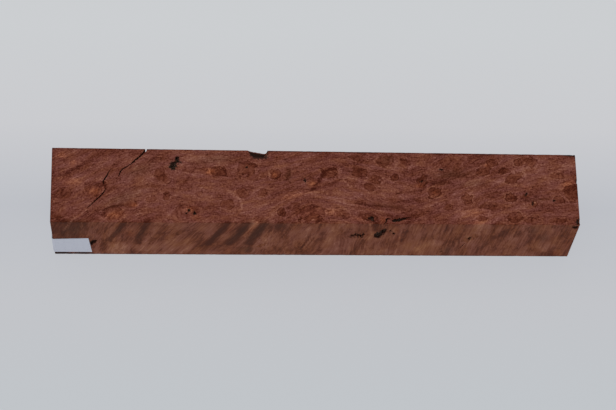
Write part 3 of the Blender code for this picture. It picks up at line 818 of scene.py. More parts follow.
# %% Patches of warm and of grey wood
# along, across, half length, half width, turn, strength
PATCHES = {
    ("amber", "top"): (
        (-53.1, -1.7, 1.5, 1.0, 10, 0.9), (-48.4, -7.9, 2.3, 1.0, 5, 0.8),
        (-43.6, -5.2, 0.8, 0.6, 0, 1.3), (-25.5, 3.8, 0.95, 0.75, 0, 1.4),
        (-9.9, 3.1, 0.7, 0.8, 0, 1.1), (-0.8, 0.9, 0.9, 0.6, 10, 0.9),
        (28.8, -1.1, 0.9, 0.6, 25, 0.9), (-61.3, 7.8, 1.2, 0.8, 0, 0.7),
        (-58.3, 5.9, 1.2, 0.6, 30, 0.6), (16.0, -8.6, 0.8, 0.9, 0, 0.9),
        (41.6, 6.2, 0.5, 0.35, 0, 1.0), (25.1, 0.5, 0.9, 0.5, 0, 0.7),
        (39.0, -8.9, 2.6, 0.6, 5, 0.6), (38.2, -6.3, 2.0, 0.5, 5, 0.5),
        (61.2, 1.5, 1.8, 0.7, 25, 0.9), (-28.8, -8.1, 1.4, 0.7, 0, 0.5),
        (9.8, -8.4, 2.0, 0.6, 0, 0.5), (-5.6, -2.4, 3.4, 0.7, 15, 0.5),
        (50.8, 0.4, 1.0, 0.6, 0, 0.3), (-30.2, -6.2, 1.6, 0.9, 5, 0.8),
        (-58.6, 0.8, 2.4, 1.0, 0, 0.5), (-1.0, -7.2, 3.0, 1.6, 8, 0.35),
        (38.2, -6.6, 3.6, 1.2, 0, 0.4), (3.6, -6.6, 1.6, 1.0, 0, 0.5),
    ),
    ("amber", "front"): (
        (60.4, 2.0, 1.4, 1.2, 0, 0.8), (-15.6, 15.4, 0.6, 4.4, -22, 1.2),
        (-44.6, 12.4, 1.1, 2.2, -15, 0.8), (20.1, 10.4, 0.7, 1.9, -8, 0.8),
        (17.5, 17.5, 0.5, 1.3, -5, 0.6), (46.8, 17.6, 0.5, 1.8, -5, 0.6),
        (-20.4, 16.0, 0.8, 2.4, -20, 0.6), (-21.0, 3.4, 0.9, 3.0, -20, 0.7),
        (62.0, 9.0, 0.8, 3.4, 0, 0.5), (19.6, 15.4, 0.5, 2.6, 0, 0.5),
    ),
    ("ash", "top"): (
        (-46.5, -3.6, 5.0, 1.6, 25, 0.6), (-42.5, 4.0, 3.6, 1.6, 25, 0.5),
        (-24.0, 7.2, 5.0, 1.2, 5, 0.6), (32.5, 3.6, 4.5, 1.2, 8, 0.6),
        (38.0, 1.4, 3.0, 0.9, 8, 0.5), (-6.5, 3.1, 0.8, 1.5, 0, 0.5),
        (35.0, 3.7, 3.0, 0.9, -6, 0.3), (17.0, -4.8, 4.5, 0.9, -8, 0.35),
        (30.4, 1.4, 1.6, 0.6, 0, 0.35), (41.6, -4.5, 2.0, 0.6, 0, 0.2),
        (53.5, -2.8, 3.0, 0.5, 5, 0.35), (17.2, 7.4, 1.6, 1.4, 0, 0.4),
    ),
    ("ash", "front"): (
        (-58.2, 15.0, 3.4, 6.0, -22, 1.0), (-18.2, 13.4, 1.2, 7.4, -22, 1.3),
        (-13.9, 14.0, 1.3, 7.4, -20, 1.3), (-23.4, 12.6, 0.8, 6.0, -22, 0.8),
        (-47.6, 14.0, 0.7, 5.4, -22, 0.8), (-41.6, 14.0, 0.8, 5.4, -18, 0.7),
        (-16.4, 3.4, 1.6, 2.2, 0, 0.9), (55.9, 11.3, 1.0, 2.4, 0, 0.7),
        (33.2, 3.2, 1.4, 2.6, 0, 0.6), (-8.4, 17.4, 1.8, 1.8, 0, 0.6),
        (52.8, 16.0, 1.2, 2.6, 0, 0.6),
    ),
}

# %% The same kind of figure on the faces that don't show
# The under side is cut like the top, and the back like the front.


def scattered_figure(rng):
    """Eyes, streaks and patches for the under side, the back and the two ends."""
    eyes, streaks, patches = [], [], []
    for _ in range(58):
        x, y, size = rng.uniform(-62, 62), rng.uniform(-9, 9), rng.uniform(0.7, 1.9)
        turn, dark = rng.uniform(-25, 25), rng.uniform(0.4, 1.0)
        eyes.append(("bottom", x, y, size, size * rng.uniform(0.55, 0.9), turn, dark))
        if rng.random() < 0.3:
            warm = (size * 0.7, size * 0.5, 0, rng.uniform(0.5, 1))
            patches.append(("amber", "bottom", x, y, *warm))
    for _ in range(16):
        x, y = rng.uniform(-60, 60), rng.uniform(-8, 8)
        run, rise = rng.uniform(2, 5), rng.uniform(-1.5, 1.5)
        strength = rng.choice((-0.9, -0.6, 0.6))
        line = ((x - run, y - rise), (x, y + rng.uniform(-0.6, 0.6)), (x + run, y + rise))
        streaks.append(("bottom", rng.uniform(0.2, 0.7), strength, line))
    for _ in range(30):
        x, high, run = rng.uniform(-60, 64), rng.uniform(9, 19.4), rng.uniform(4, 12)
        strength, width = rng.choice((-1.0, -0.7, 0.5, 0.7)), rng.uniform(0.3, 1.5)
        low = high - run
        bend = rng.uniform(-0.5, 0.5)
        middle = (x - GRAIN_LEAN * run / 2 + bend, (high + low) / 2)
        line = ((x, high), middle, (x - GRAIN_LEAN * run, low))
        streaks.append(("back", width, strength, line))
        if strength < -0.8:
            patches.append(("ash", "back", *middle, width, run * 0.6, 22, rng.uniform(0.5, 1)))
    for _ in range(10):
        x, z = rng.uniform(-58, 60), rng.uniform(3, 16)
        eyes.append(("back", x, z, rng.uniform(0.5, 1.0), rng.uniform(0.9, 1.8), 15, 0.7))
        patches.append(("amber", "back", x + 2, z, 0.8, 2.4, 20, rng.uniform(0.4, 0.9)))
    for face in ("left", "right"):
        for _ in range(6):
            y, z, size = rng.uniform(-7, 7), rng.uniform(3, 16), rng.uniform(0.7, 1.5)
            eyes.append((face, y, z, size * 0.8, size, rng.uniform(-20, 20), rng.uniform(0.5, 1)))
        for _ in range(7):
            y, high, run = rng.uniform(-9, 9), rng.uniform(10, 19), rng.uniform(5, 10)
            line = ((y, high), (y + rng.uniform(-0.7, 0.7), high - run))
            streaks.append((face, rng.uniform(0.2, 0.6), rng.choice((-0.9, 0.6)), line))
    return eyes, streaks, patches


hidden_eyes, hidden_streaks, hidden_patches = scattered_figure(random.Random(SEED + 1))
all_eyes = [("top", *eye) for eye in TOP_EYES] + [("front", *eye) for eye in FRONT_EYES]
all_eyes += hidden_eyes
all_streaks = [("top", *streak) for streak in TOP_STREAKS]
all_streaks += [("front", *streak) for streak in FRONT_STREAKS] + hidden_streaks
all_patches = [(*spot, *patch) for spot, rows in PATCHES.items() for patch in rows]
all_patches += hidden_patches
print("figure:", len(all_eyes), "eyes,", len(all_streaks), "streaks,", len(all_patches), "patches")

# %% [markdown]
# ## Fields on the mesh
# Each kind of figure becomes one number for every point. "rho" is the distance to the nearest eye,
# measured in that eye's own radii, so 1 is its rim, and "dark" says how dark that eye is. "tone"
# adds up the dark and light streaks, among them painted shade below the label, along the foot of
# the front and along the back edge of the top. "amber" and "ash" say how warm or how grey the wood
# is, "hollow" how deep a point lies under the sawn faces, and "rim" how far it is from a hollow's
# mouth, a stain or a patch of painted shade. "grain" is a place in the wood as the fibres see it:
# it is pushed aside round every eye, so a noise that is stretched along it flows round the eyes
# too.

# %% Points of the mesh, and their places on a face


def mesh_points(piece):
    """All points of a mesh, in millimetres."""
    flat = np.empty(len(piece.data.vertices) * 3)
    piece.data.vertices.foreach_get("co", flat)
    return flat.reshape(-1, 3) / MM


def on_face(face, along, across, points):
    """The points' places in the frame of one spot on a face: along it, across it and outwards."""
    place = np.array(face_frame(face, along, across))
    return (points - place[:3, 3]) @ place[:3, :3]


def turned(a, b, degrees):
    """Two coordinates in axes that are turned by an angle."""
    c, s = math.cos(math.radians(degrees)), math.sin(math.radians(degrees))
    return a * c + b * s, b * c - a * s


# %% The large sweep of the fibres
# along, slope of the fibres near the back edge, slope near the front edge, seen from above
SWEEP = (
    (-64.0, 0.5, 0.4),
    (-52.0, 0.6, 0.5),
    (-44.0, 0.3, 0.3),
    (-36.0, 0.05, 0.1),
    (-20.0, 0.05, 0.05),
    (-12.0, 0.1, 0.6),
    (-4.0, 0.25, 0.45),
    (2.0, 0.35, 0.0),
    (8.0, 0.0, -0.28),
    (16.0, -0.05, -0.18),
    (24.0, 0.12, 0.1),
    (32.0, 0.3, 0.35),
    (45.0, 0.32, 0.25),
    (56.0, 0.15, 0.1),
    (64.0, 0.1, 0.15),
)
# along, how far the fibres lean to the left for each millimetre down, seen from the front
LEAN = (
    (-64.0, 0.3),
    (-50.0, 0.4),
    (-20.0, 0.44),
    (-6.0, 0.34),
    (7.0, 0.04),
    (34.0, 0.1),
    (64.0, 0.06),
)
SWEEP_REACH = 66.0
SWEEP_STEPS = 529


def sweep_height(x, y):
    """How far the fibres have climbed at each point, by adding up their slope along the stick."""
    places = np.linspace(-SWEEP_REACH, SWEEP_REACH, SWEEP_STEPS)
    knots = np.array(SWEEP)
    step = places[1] - places[0]
    back = np.cumsum(np.interp(places, knots[:, 0], knots[:, 1])) * step
    front = np.cumsum(np.interp(places, knots[:, 0], knots[:, 2])) * step
    share = np.clip(y / WIDTH_LEFT + 0.5, 0, 1)
    return np.interp(x, places, back) * share + np.interp(x, places, front) * (1 - share)


# %% Eyes, and the fibres that part round them
# An eye goes down into the wood along the leaning fibres, and fades within a few millimetres.
EYE_DEPTH = 1.6
FAR_RHO = 4.0
DARK_BEND = 1.25
FLOW_STRENGTH = 0.62
FLOW_FADE = 0.45


def seen_from_eye(face, along, across, points):
    """The points' places along, across and below an eye, and the eye's frame."""
    place = np.array(face_frame(face, along, across))
    offset = points - place[:3, 3]
    if face in ("top", "bottom", "front", "back"):
        offset = offset + np.outer(place[2, 3] - points[:, 2], (GRAIN_LEAN, 0, 0))
    local = offset @ place[:3, :3]
    return local[:, 0], local[:, 1], -local[:, 2], place


def eye_fields(points):
    """Distance to the nearest eye, how dark that eye is, and the fibres' own coordinates."""
    x, y, z = points.T
    nought = np.zeros(len(points))
    lean = np.interp(x, *np.array(LEAN).T)
    grain = np.stack((x + lean * (HEIGHT - z), y - sweep_height(x, y), z), axis=1)
    rho, dark_here = nought + FAR_RHO, nought
    for face, along, across, half_long, half_wide, turn, dark in all_eyes:
        a, b, below, place = seen_from_eye(face, along, across, points)
        a, b = turned(a, b, turn)
        own = np.sqrt((a / half_long) ** 2 + (b / half_wide) ** 2 + (below / EYE_DEPTH) ** 2)
        closer = own < rho
        rho = np.where(closer, own, rho)
        dark_here = np.where(closer, dark**DARK_BEND, dark_here)
        outside = np.maximum(own, 1.0)
        push = FLOW_STRENGTH / outside**2 * np.exp(-(outside - 1.0) * FLOW_FADE)
        push = np.where(own < FAR_RHO, push, 0.0)
        across_fibres = (nought, b) if face in ("top", "bottom") else (a, nought)
        back_a, back_b = turned(*across_fibres, -turn)
        grain -= np.outer(push * back_a, place[:3, 0])
        grain -= np.outer(push * back_b, place[:3, 1])
    return rho, dark_here, grain


# %% Streaks and tinted patches
# Both are mostly stains in the outer wood, and a few dark streaks are painted shade; all of them
# fade with the distance from their face.
FACE_FADE = 0.7


def distance_to_line(points, face, line):
    """How far each point is from a line on a face, along that face, and how far below it."""
    local = on_face(face, *line[0], points)
    signs = (-1.0 if face in ("back", "left") else 1.0, -1.0 if face == "bottom" else 1.0)
    spots = (np.array(line) - np.array(line[0])) * signs
    nearest = np.full(len(points), np.inf)
    for start, end in zip(spots, spots[1:]):
        run = end - start
        offset = local[:, :2] - start
        share = np.clip(offset @ run / (run @ run), 0, 1)
        nearest = np.minimum(nearest, np.linalg.norm(offset - np.outer(share, run), axis=1))
    return nearest, -local[:, 2]


def streak_profile(points, face, width, line):
    """1 in the middle of a streak, falling to 0 beside it and below its face."""
    nearest, below = distance_to_line(points, face, line)
    return np.exp(-((nearest / width) ** 4) - (below / FACE_FADE) ** 2)


def patch_field(points, wanted):
    """How strongly every point is tinted by the patches of one kind."""
    field = np.zeros(len(points))
    for kind, face, along, across, half_long, half_wide, turn, strength in all_patches:
        if kind == wanted:
            local = on_face(face, along, across, points)
            a, b = turned(local[:, 0], local[:, 1], turn)
            own = (a / half_long) ** 2 + (b / half_wide) ** 2 + (local[:, 2] / FACE_FADE) ** 2
            field = np.maximum(field, strength * np.exp(-own))
    return field


# %% The rims of the hollows, and their depth
# The material darkens a hollow near its mouth and lets it get paler further down, where it would
# sink into black. The notch and the deep pocket stay dark in the photograph, so there the depth
# stops early: low corner, high corner, most depth.
RIM_REACH = 2.0
DEPTH_STOPS = (
    ((NOTCH[0][0], 7.4, HEIGHT - 2.4), (NOTCH[-1][0], WIDTH_LEFT, HEIGHT + 1.0), 0.35),
    ((-36.0, 3.4, HEIGHT - 3.0), (-32.0, 8.6, HEIGHT + 1.0), 1.1),
)


def rim_distance(points):
    """Millimetres from each point to the nearest pocket's mouth, stain or painted shade, as seen on
    its face.
    """
    nearest = np.full(len(points), RIM_REACH)
    for _, face, along, across, half_along, half_across, _, turn in (*POCKETS, *SHREDS, *STAINS_AND_PAINTED_SHADE):
        local = on_face(face, along, across, points)
        a, b = turned(local[:, 0], local[:, 1], turn)
        own = np.hypot(a / half_along, b / half_across)
        gap = (own - 1.0) * min(half_along, half_across) + np.abs(local[:, 2])
        nearest = np.minimum(nearest, gap)
    return nearest


def hollow_depth(points):
    """How deep each point lies under the nearest sawn face."""
    x, y, z = points.T
    left = x + LENGTH / 2 - LEFT_END_SKEW * y / WIDTH_LEFT
    sides = (half_width(x) - np.abs(y), z, HEIGHT - z, LENGTH / 2 - x, left)
    depth = np.maximum(np.min(sides, axis=0), 0.0)
    for low, high, most in DEPTH_STOPS:
        inside = np.all((points > low) & (points < high), axis=1)
        depth = np.where(inside, np.minimum(depth, most), depth)
    return depth


# %% Work out the fields and store them on the mesh


def write_field(piece, name, values):
    """Stores one number or one vector for every point of a mesh."""
    kind, entry = ("FLOAT", "value") if values.ndim == 1 else ("FLOAT_VECTOR", "vector")
    layer = piece.data.attributes.new(name, kind, "POINT")
    layer.data.foreach_set(entry, values.astype(np.float32).ravel())


points = mesh_points(stick)
rho, dark_here, grain = eye_fields(points)
fields = {
    "rho": rho,
    "dark": dark_here,
    "tone": sum(
        strength * streak_profile(points, face, width, line)
        for face, width, strength, line in all_streaks
    ),
    "amber": patch_field(points, "amber"),
    "ash": patch_field(points, "ash"),
    "hollow": hollow_depth(points),
    "rim": rim_distance(points),
    "grain": grain,
}
for name, values in fields.items():
    write_field(stick, name, values)
    print(f"field {name}: {values.min():.2f} to {values.max():.2f}")

# %% [markdown]
# ## Burl wood, stabilized, sanded and satin
# Redwood burl is a warm red-brown. Where the saw crosses the fibres it drinks more resin and goes
# darker, so the top is redder and the long sides paler and greyer. The material reads the fields
# of the mesh and adds what is too fine for it: fibres, specks inside the eyes, rings round them,
# and a faint relief, because hard and soft wood sand down differently.

# %% Read the fields
burl, tree, shader = new_material("burl_wood_stabilized_sanded")
field = {}
for name in ("rho", "dark", "tone", "amber", "ash", "hollow", "rim"):
    field[name] = add_node(tree, "Attribute", attribute_name=name).outputs["Fac"]
grain_place = add_node(tree, "Attribute", attribute_name="grain").outputs["Vector"]
object_coordinates = add_node(tree, "TexCoord")
feeds = {0: object_coordinates.outputs["Object"], "Scale": 1 / MM}
wood_place = add_node(tree, "VectorMath", feeds, operation="SCALE")

# %% Noises, from thick streaks to fine fibres
# Each size is the length of one light and one dark part, in millimetres: along the stick, across
# the layers, and down the fibres. Real redwood fibres are 0.03 mm thick, too fine to show, so the
# finest ones here are drawn about seven times as thick.
GRAIN_NOISES = {
    "fibre": ((1.0, 0.42, 3.2), 4.0),
    "long_fibre": ((0.5, 0.5, 8.0), 3.0),
    "streak": ((6.0, 1.2, 13.0), 4.0),
    "thread": ((4.0, 1.1, 11.0), 2.0),
    "vein": ((5.0, 1.3, 14.0), 3.0),
    "hue": ((4.0, 1.5, 10.0), 4.0),
}
WOOD_NOISES = {"cloud": (8.0, 3.0), "speck": (0.4, 2.0), "stir": (1.1, 4.0)}

noises = {}
for name, (sizes, detail) in GRAIN_NOISES.items():
    feeds = {0: grain_place, 1: tuple(1 / size for size in sizes)}
    spot = add_node(tree, "VectorMath", feeds, operation="MULTIPLY")
    feeds = {"Vector": spot, "Scale": 1.0, "Detail": detail, "Roughness": 0.6}
    noises[name] = add_node(tree, "TexNoise", feeds)
for name, (size, detail) in WOOD_NOISES.items():
    feeds = {"Vector": wood_place, "Scale": 1 / size, "Detail": detail}
    noises[name] = add_node(tree, "TexNoise", feeds)

# %% Thin lines between the fibres
# A noise passes its middle value along thin winding lines. Close to that value lies a line: a pale
# thread of one noise, a dark vein of the other.
LINE_WIDTHS = {"thread": 0.022, "vein": 0.026}

lines = {}
for name, width in LINE_WIDTHS.items():
    off_middle = add_node(tree, "Math", {0: noises[name], 1: 0.5}, operation="SUBTRACT")
    off_middle = add_node(tree, "Math", {0: off_middle}, operation="ABSOLUTE")
    feeds = {"Value": off_middle, "From Min": width, "From Max": 0.0}
    lines[name] = add_node(tree, "MapRange", feeds)
smooth = {"interpolation_type": "SMOOTHSTEP"}
feeds = {"Value": noises["streak"], "From Min": 0.4, "From Max": 0.6}
crisp_streak = add_node(tree, "MapRange", feeds, **smooth)

# %% Inside the eyes: mottling, rings and pins
# The distance to the eye is stirred by noise first, so that no eye is a clean oval. Inside, an eye
# is mottled and has faint rings of growth and small dark pins, the ends of cut buds.
EYE_STIR = 2.2
RINGS = 12.0
PINS_PER_MM = 1.7

feeds = {0: noises["stir"], 1: EYE_STIR, 2: -EYE_STIR / 2}
stir = add_node(tree, "Math", feeds, operation="MULTIPLY_ADD")
ragged_rho = add_node(tree, "Math", {0: field["rho"], 1: stir}, operation="ADD")
feeds = {"Value": ragged_rho, "From Min": 1.2, "From Max": 0.8}
inside = add_node(tree, "MapRange", feeds, **smooth)
eye = add_node(tree, "Math", {0: inside, 1: field["dark"]}, operation="MULTIPLY")

feeds = {0: noises["speck"], 1: 4.6, 2: -1.6}
mottling = add_node(tree, "Math", feeds, operation="MULTIPLY_ADD")
rings = add_node(tree, "Math", {0: ragged_rho, 1: RINGS}, operation="MULTIPLY")
rings = add_node(tree, "Math", {0: rings}, operation="SINE")
pins = add_node(tree, "TexVoronoi", {"Vector": wood_place, "Scale": PINS_PER_MM})
pins = add_node(tree, "MapRange", {"Value": pins, "From Min": 0.28, "From Max": 0.1})
in_eye = {}
for name, part in (("mottling", mottling), ("rings", rings), ("pins", pins)):
    in_eye[name] = add_node(tree, "Math", {0: part, 1: eye}, operation="MULTIPLY")

# %% Round the eyes: a dark rim and a pale halo
# Both are bands of the stirred distance, where 1 is the eye's edge. The slow noise for the hue
# breaks the rim, which on the real wood is never closed all the way round.
BANDS = (("rim", 1.0, 0.16), ("halo", 1.3, 0.17))

around = {}
for name, middle, width in BANDS:
    off = add_node(tree, "Math", {0: ragged_rho, 1: middle}, operation="SUBTRACT")
    off = add_node(tree, "Math", {0: off}, operation="ABSOLUTE")
    band = add_node(tree, "MapRange", {"Value": off, "From Min": width, "From Max": 0.0})
    around[name] = add_node(tree, "Math", {0: band, 1: field["dark"]}, operation="MULTIPLY")
feeds = {"Value": noises["hue"], "From Min": 0.3, "From Max": 0.5}
patchy = add_node(tree, "MapRange", feeds, **smooth)
around["rim"] = add_node(tree, "Math", {0: around["rim"], 1: patchy}, operation="MULTIPLY")

# %% Single dots
# Bark specks and resin beads too small for the mesh. Noise makes the edge of each one waver.
# along, across, radius, how dark (below nought) or how pale
TOP_DOTS = (
    (52.85, -3.6, 0.3, 3.6), (52.4, -3.4, 0.3, -1.2), (41.5, -4.5, 0.28, -1.2),
    (42.9, -4.6, 0.28, -1.2), (52.5, 0.5, 0.16, -1.5), (-3.6, -3.6, 0.16, -1.5),
    (-2.0, -3.6, 0.16, -1.5), (19.2, 1.4, 0.2, -1.3), (14.3, 1.75, 0.2, -1.3),
    (21.4, 1.4, 0.2, -1.3), (-9.1, 2.6, 0.25, -1.5), (22.8, 6.2, 0.2, -1.5),
    (-3.6, -5.6, 0.25, 1.6), (2.7, -1.8, 0.3, 1.2), (4.6, -1.8, 0.25, 1.2),
    (-36.2, -2.5, 0.35, -1.0), (3.5, 4.2, 0.4, 0.9), (0.2, 2.7, 0.25, -1.3), (0.6, 1.6, 0.3, -1.2),
    (-31.9, -5.9, 0.25, -1.5), (-30.2, -5.5, 0.25, -1.5), (-29.5, -6.1, 0.2, -1.5),
    (-1.9, 1.5, 0.2, -1.3), (-1.3, 2.0, 0.2, -1.3), (-50.2, 0.9, 0.35, 0.9),
)
# along, across, height, radius, how dark or pale
FRONT_DOTS = (
    (-44.0, -9.8, 13.7, 0.3, -1.4), (-16.3, -9.7, 15.0, 0.3, -1.3), (62.9, -9.4, 11.6, 0.35, -1.4),
    (55.0, -9.4, 18.6, 0.3, 0.8),
)
DOT_WAVER = 0.5
DOT_CORE = 0.3
DOT_TONE = 0.3

top_dots = [(along, across, HEIGHT, *rest) for along, across, *rest in TOP_DOTS]
dots = 0.0
for *place, radius, strength in (*top_dots, *FRONT_DOTS):
    away = add_node(tree, "VectorMath", {0: wood_place, 1: place}, operation="DISTANCE")
    feeds = {0: noises["stir"], 1: DOT_WAVER, 2: away.outputs["Value"]}
    away = add_node(tree, "Math", feeds, operation="MULTIPLY_ADD")
    core = DOT_WAVER / 2 + radius * DOT_CORE
    feeds = {"Value": away, "From Min": DOT_WAVER / 2 + radius, "From Max": core}
    dot = add_node(tree, "MapRange", {**feeds, "To Max": strength * DOT_TONE}, **smooth)
    dots = add_node(tree, "Math", {0: dot, 1: dots}, operation="ADD")

# %% Add them up to one tone for each way the saw can cross the fibres
# A tone runs from the darkest wood, 0, to the palest, 1. Each part has a middle value, which is
# taken off so that it leaves the average alone, and two weights: how much it shows where the
# fibres are cut across, on the top, and where they are cut along, on the sides.
TONE_PARTS = (
    (noises["fibre"], 0.5, 0.9, 0.25),
    (noises["long_fibre"], 0.5, 0.2, 1.05),
    (noises["streak"], 0.5, 0.34, 0.46),
    (crisp_streak, 0.5, 0.12, 0.13),
    (noises["cloud"], 0.5, 0.7, 0.8),
    (noises["speck"], 0.5, 1.25, 0.3),
    (lines["thread"], 0.12, 0.26, 0.14),
    (lines["vein"], 0.12, -0.3, -0.18),
    (field["tone"], 0.0, 0.28, 0.34),
    (field["amber"], 0.0, 0.24, 0.12),
    (in_eye["mottling"], 0.0, -0.3, -0.2),
    (around["rim"], 0.0, -0.36, -0.1),
    (around["halo"], 0.0, 0.23, 0.05),
    (in_eye["rings"], 0.0, 0.13, 0.02),
    (in_eye["pins"], 0.0, -0.4, -0.1),
    (dots, 0.0, 1.0, 1.0),
)
MIDDLE_TONE = 0.5

tones = {}
for way, column in (("across", 2), ("along", 3)):
    tone = MIDDLE_TONE
    for part in TONE_PARTS:
        weight = part[column]
        feeds = {0: part[0], 1: weight, 2: -weight * part[1]}
        scaled = add_node(tree, "Math", feeds, operation="MULTIPLY_ADD")
        tone = add_node(tree, "Math", {0: scaled, 1: tone}, operation="ADD")
    tones[way] = tone
facing = add_node(tree, "SeparateXYZ", {0: object_coordinates.outputs["Normal"]})
cut_across = add_node(tree, "Math", {0: facing.outputs["Z"]}, operation="ABSOLUTE")
feeds = {"Factor": cut_across, "A": tones["along"], "B": tones["across"]}
tone = add_node(tree, "Mix", feeds, data_type="FLOAT")

# %% From tone to colour
# One ramp for each way of cutting. Where the hue noise is high, and inside the eyes, the wood is a
# little yellower. Amber and ash patches lie over it, broken up by the fibres.
CUT_ACROSS = (
    (0.0, "#46190E"),
    (0.25, "#612E23"),
    (0.5, "#774239"),
    (0.75, "#885247"),
    (1.0, "#9F6B5F"),
)
CUT_ALONG = (
    (0.0, "#562614"),
    (0.25, "#6B3624"),
    (0.5, "#894F3D"),
    (0.75, "#9C6351"),
    (1.0, "#B47B66"),
)
AMBER = ((0.0, "#44170A"), (0.5, "#7F3E24"), (1.0, "#BC7552"))
ASH = ((0.0, "#4E2717"), (0.3, "#5F3624"), (0.6, "#714736"), (1.0, "#8E6451"))
WARM_TINT = "#FFFAD9"
EYE_WARMTH = 0.6
BROKEN_BY_FIBRES = 2.0

ramps = {}
for way, stops in (("across", CUT_ACROSS), ("along", CUT_ALONG)):
    ramps[way] = add_node(tree, "ValToRGB", {0: tone}, stops=stops)
feeds = {"Factor": cut_across, "A": ramps["along"], "B": ramps["across"]}
colour = add_node(tree, "Mix", feeds, data_type="RGBA")
warmth = add_node(tree, "MapRange", {"Value": noises["hue"], "From Min": 0.36, "From Max": 0.64})
feeds = {0: eye, 1: EYE_WARMTH, 2: warmth}
warmth = add_node(tree, "Math", feeds, operation="MULTIPLY_ADD", use_clamp=True)
feeds = {"Factor": warmth, "A": colour, "B": linear(WARM_TINT)}
colour = add_node(tree, "Mix", feeds, data_type="RGBA", blend_type="MULTIPLY")
broken = add_node(tree, "Math", {0: noises["fibre"], 1: BROKEN_BY_FIBRES}, operation="MULTIPLY")
for name, stops, most in (("amber", AMBER, 0.9), ("ash", ASH, 0.85)):
    amount = add_node(tree, "Math", {0: field[name], 1: broken}, operation="MULTIPLY")
    share = add_node(tree, "Math", {0: amount, 1: most}, operation="MULTIPLY", use_clamp=True)
    layer = add_node(tree, "ValToRGB", {0: tone}, stops=stops)
    colour = add_node(tree, "Mix", {"Factor": share, "A": colour, "B": layer}, data_type="RGBA")

# %% The dark of the hollows, and painted shade
# Bark dust and resin darken a hollow's walls and stain its mouth by a ragged tenth or two of a
# millimetre. The same dark, laid round the deep pocket and on the strip below the label, is
# painted shade. The ramp runs down the hollow. It turns paler with depth, because so little light
# reaches the bottom that a dark colour there would end up pure black.
HOLLOW_AND_PAINTED_SHADE = (
    (0.0, "#2E1E18"),
    (0.2, "#2C1B15"),
    (0.38, "#5A4338"),
    (0.65, "#7A6254"),
    (1.0, "#A89488"),
)
RIM_RAGGED = 1.5
RAMP_DEPTH = 1.8

rim_noise = add_node(tree, "TexNoise", {"Vector": wood_place, "Scale": 2.2, "Detail": 3.0})
feeds = {0: rim_noise, 1: RIM_RAGGED, 2: -RIM_RAGGED / 2}
rim_noise = add_node(tree, "Math", feeds, operation="MULTIPLY_ADD")
ragged_rim = add_node(tree, "Math", {0: field["rim"], 1: rim_noise}, operation="ADD")
# dark at the mouths of hollows and stains, and painted shade round the deep pocket and below the
# label
feeds = {"Value": ragged_rim, "From Min": 0.22, "From Max": -0.05, "To Max": 0.85}
stain_and_painted_shade = add_node(tree, "MapRange", feeds, **smooth)
feeds = {"Value": field["hollow"], "From Min": 0.05, "From Max": 0.35}
deep = add_node(tree, "MapRange", feeds, **smooth)
hollow_and_shade_share = add_node(tree, "Math", {0: stain_and_painted_shade, 1: deep}, operation="MAXIMUM")
ramp_place = add_node(tree, "MapRange", {"Value": field["hollow"], "From Max": RAMP_DEPTH})
layer = add_node(tree, "ValToRGB", {0: ramp_place}, stops=HOLLOW_AND_PAINTED_SHADE)
feeds = {"Factor": hollow_and_shade_share, "A": colour, "B": layer}
colour = add_node(tree, "Mix", feeds, data_type="RGBA")
tree.links.new(live_socket(colour.outputs, 0), shader.inputs["Base Color"])

# %% Satin and relief
# Sanded resin-filled wood is satin: smoother where it is dense and dark, duller in its open fibres
# and quite dull in its hollows, which no sandpaper reaches.
SHINE = {"From Min": 0.1, "From Max": 0.9, "To Min": 0.5, "To Max": 0.68}
HOLLOW_ROUGHNESS = 0.9
RELIEF = 0.05 * MM

roughness = add_node(tree, "MapRange", {"Value": tone, **SHINE})
feeds = {"Factor": hollow_and_shade_share, "A": roughness, "B": HOLLOW_ROUGHNESS}
roughness = add_node(tree, "Mix", feeds, data_type="FLOAT")
tree.links.new(live_socket(roughness.outputs, 0), shader.inputs["Roughness"])
shader.inputs["Specular IOR Level"].default_value = 0.04
shader.inputs["IOR"].default_value = 1.5
relief = add_node(tree, "Bump", {"Strength": 0.5, "Distance": RELIEF, "Height": tone})
tree.links.new(relief.outputs["Normal"], shader.inputs["Normal"])

stick.data.materials.clear()
stick.data.materials.append(burl)
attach(stick, "root")
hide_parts("blank")
print("burl material:", len(tree.nodes), "nodes")

# %% [markdown]
# ## The paper label
# A bare self-adhesive label is folded round the lower left edge of the front. It is a thin sheet,
# so it starts as one line round the edge, is drawn upwards into a strip, divided, and thickened
# last. It lies almost on the wood: only a hair of shadow shows under it.

# %% The label's line and its sheet
LABEL_GAP = 0.03
LABEL_GAP_AT_END = 0.14
LABEL_THICKNESS = 0.1
LABEL_BOTTOM = 1.7
LABEL_TOP_AT_FOLD = 9.3
LABEL_TOP_AT_FRONT_END = 9.87
LABEL_FRONT_END = -54.7
LABEL_FRONT_END_LEAN = 0.5
LABEL_ON_LEFT_END = 9.2
LABEL_FOLD_RADIUS = 0.3
LABEL_LONG_EDGE = 5.0
LABEL_CUTS = 21
FOLD_STEPS = 6


def label_path():
    """The label's inner line, from its front end round the edge to its end on the left face."""
    left = -LENGTH / 2 + LEFT_END_SKEW / 2
    front_end = Vector((LABEL_FRONT_END, -half_width(LABEL_FRONT_END) - LABEL_GAP, 0))
    corner = Vector((left - LABEL_GAP_AT_END, -half_width(left) - LABEL_GAP, 0))
    along_left = Vector((-LEFT_END_SKEW, half_width(left) * 2, 0)).normalized()
    along_front = (front_end - corner).normalized()
    centre = corner + (along_left + along_front) * LABEL_FOLD_RADIUS
    fold = []
    for step in range(FOLD_STEPS + 1):
        angle = math.radians(90) * step / FOLD_STEPS
        fold.append(
            centre
            - along_left * LABEL_FOLD_RADIUS * math.cos(angle)
            - along_front * LABEL_FOLD_RADIUS * math.sin(angle)
        )
    return [front_end, *fold, corner + along_left * LABEL_ON_LEFT_END]


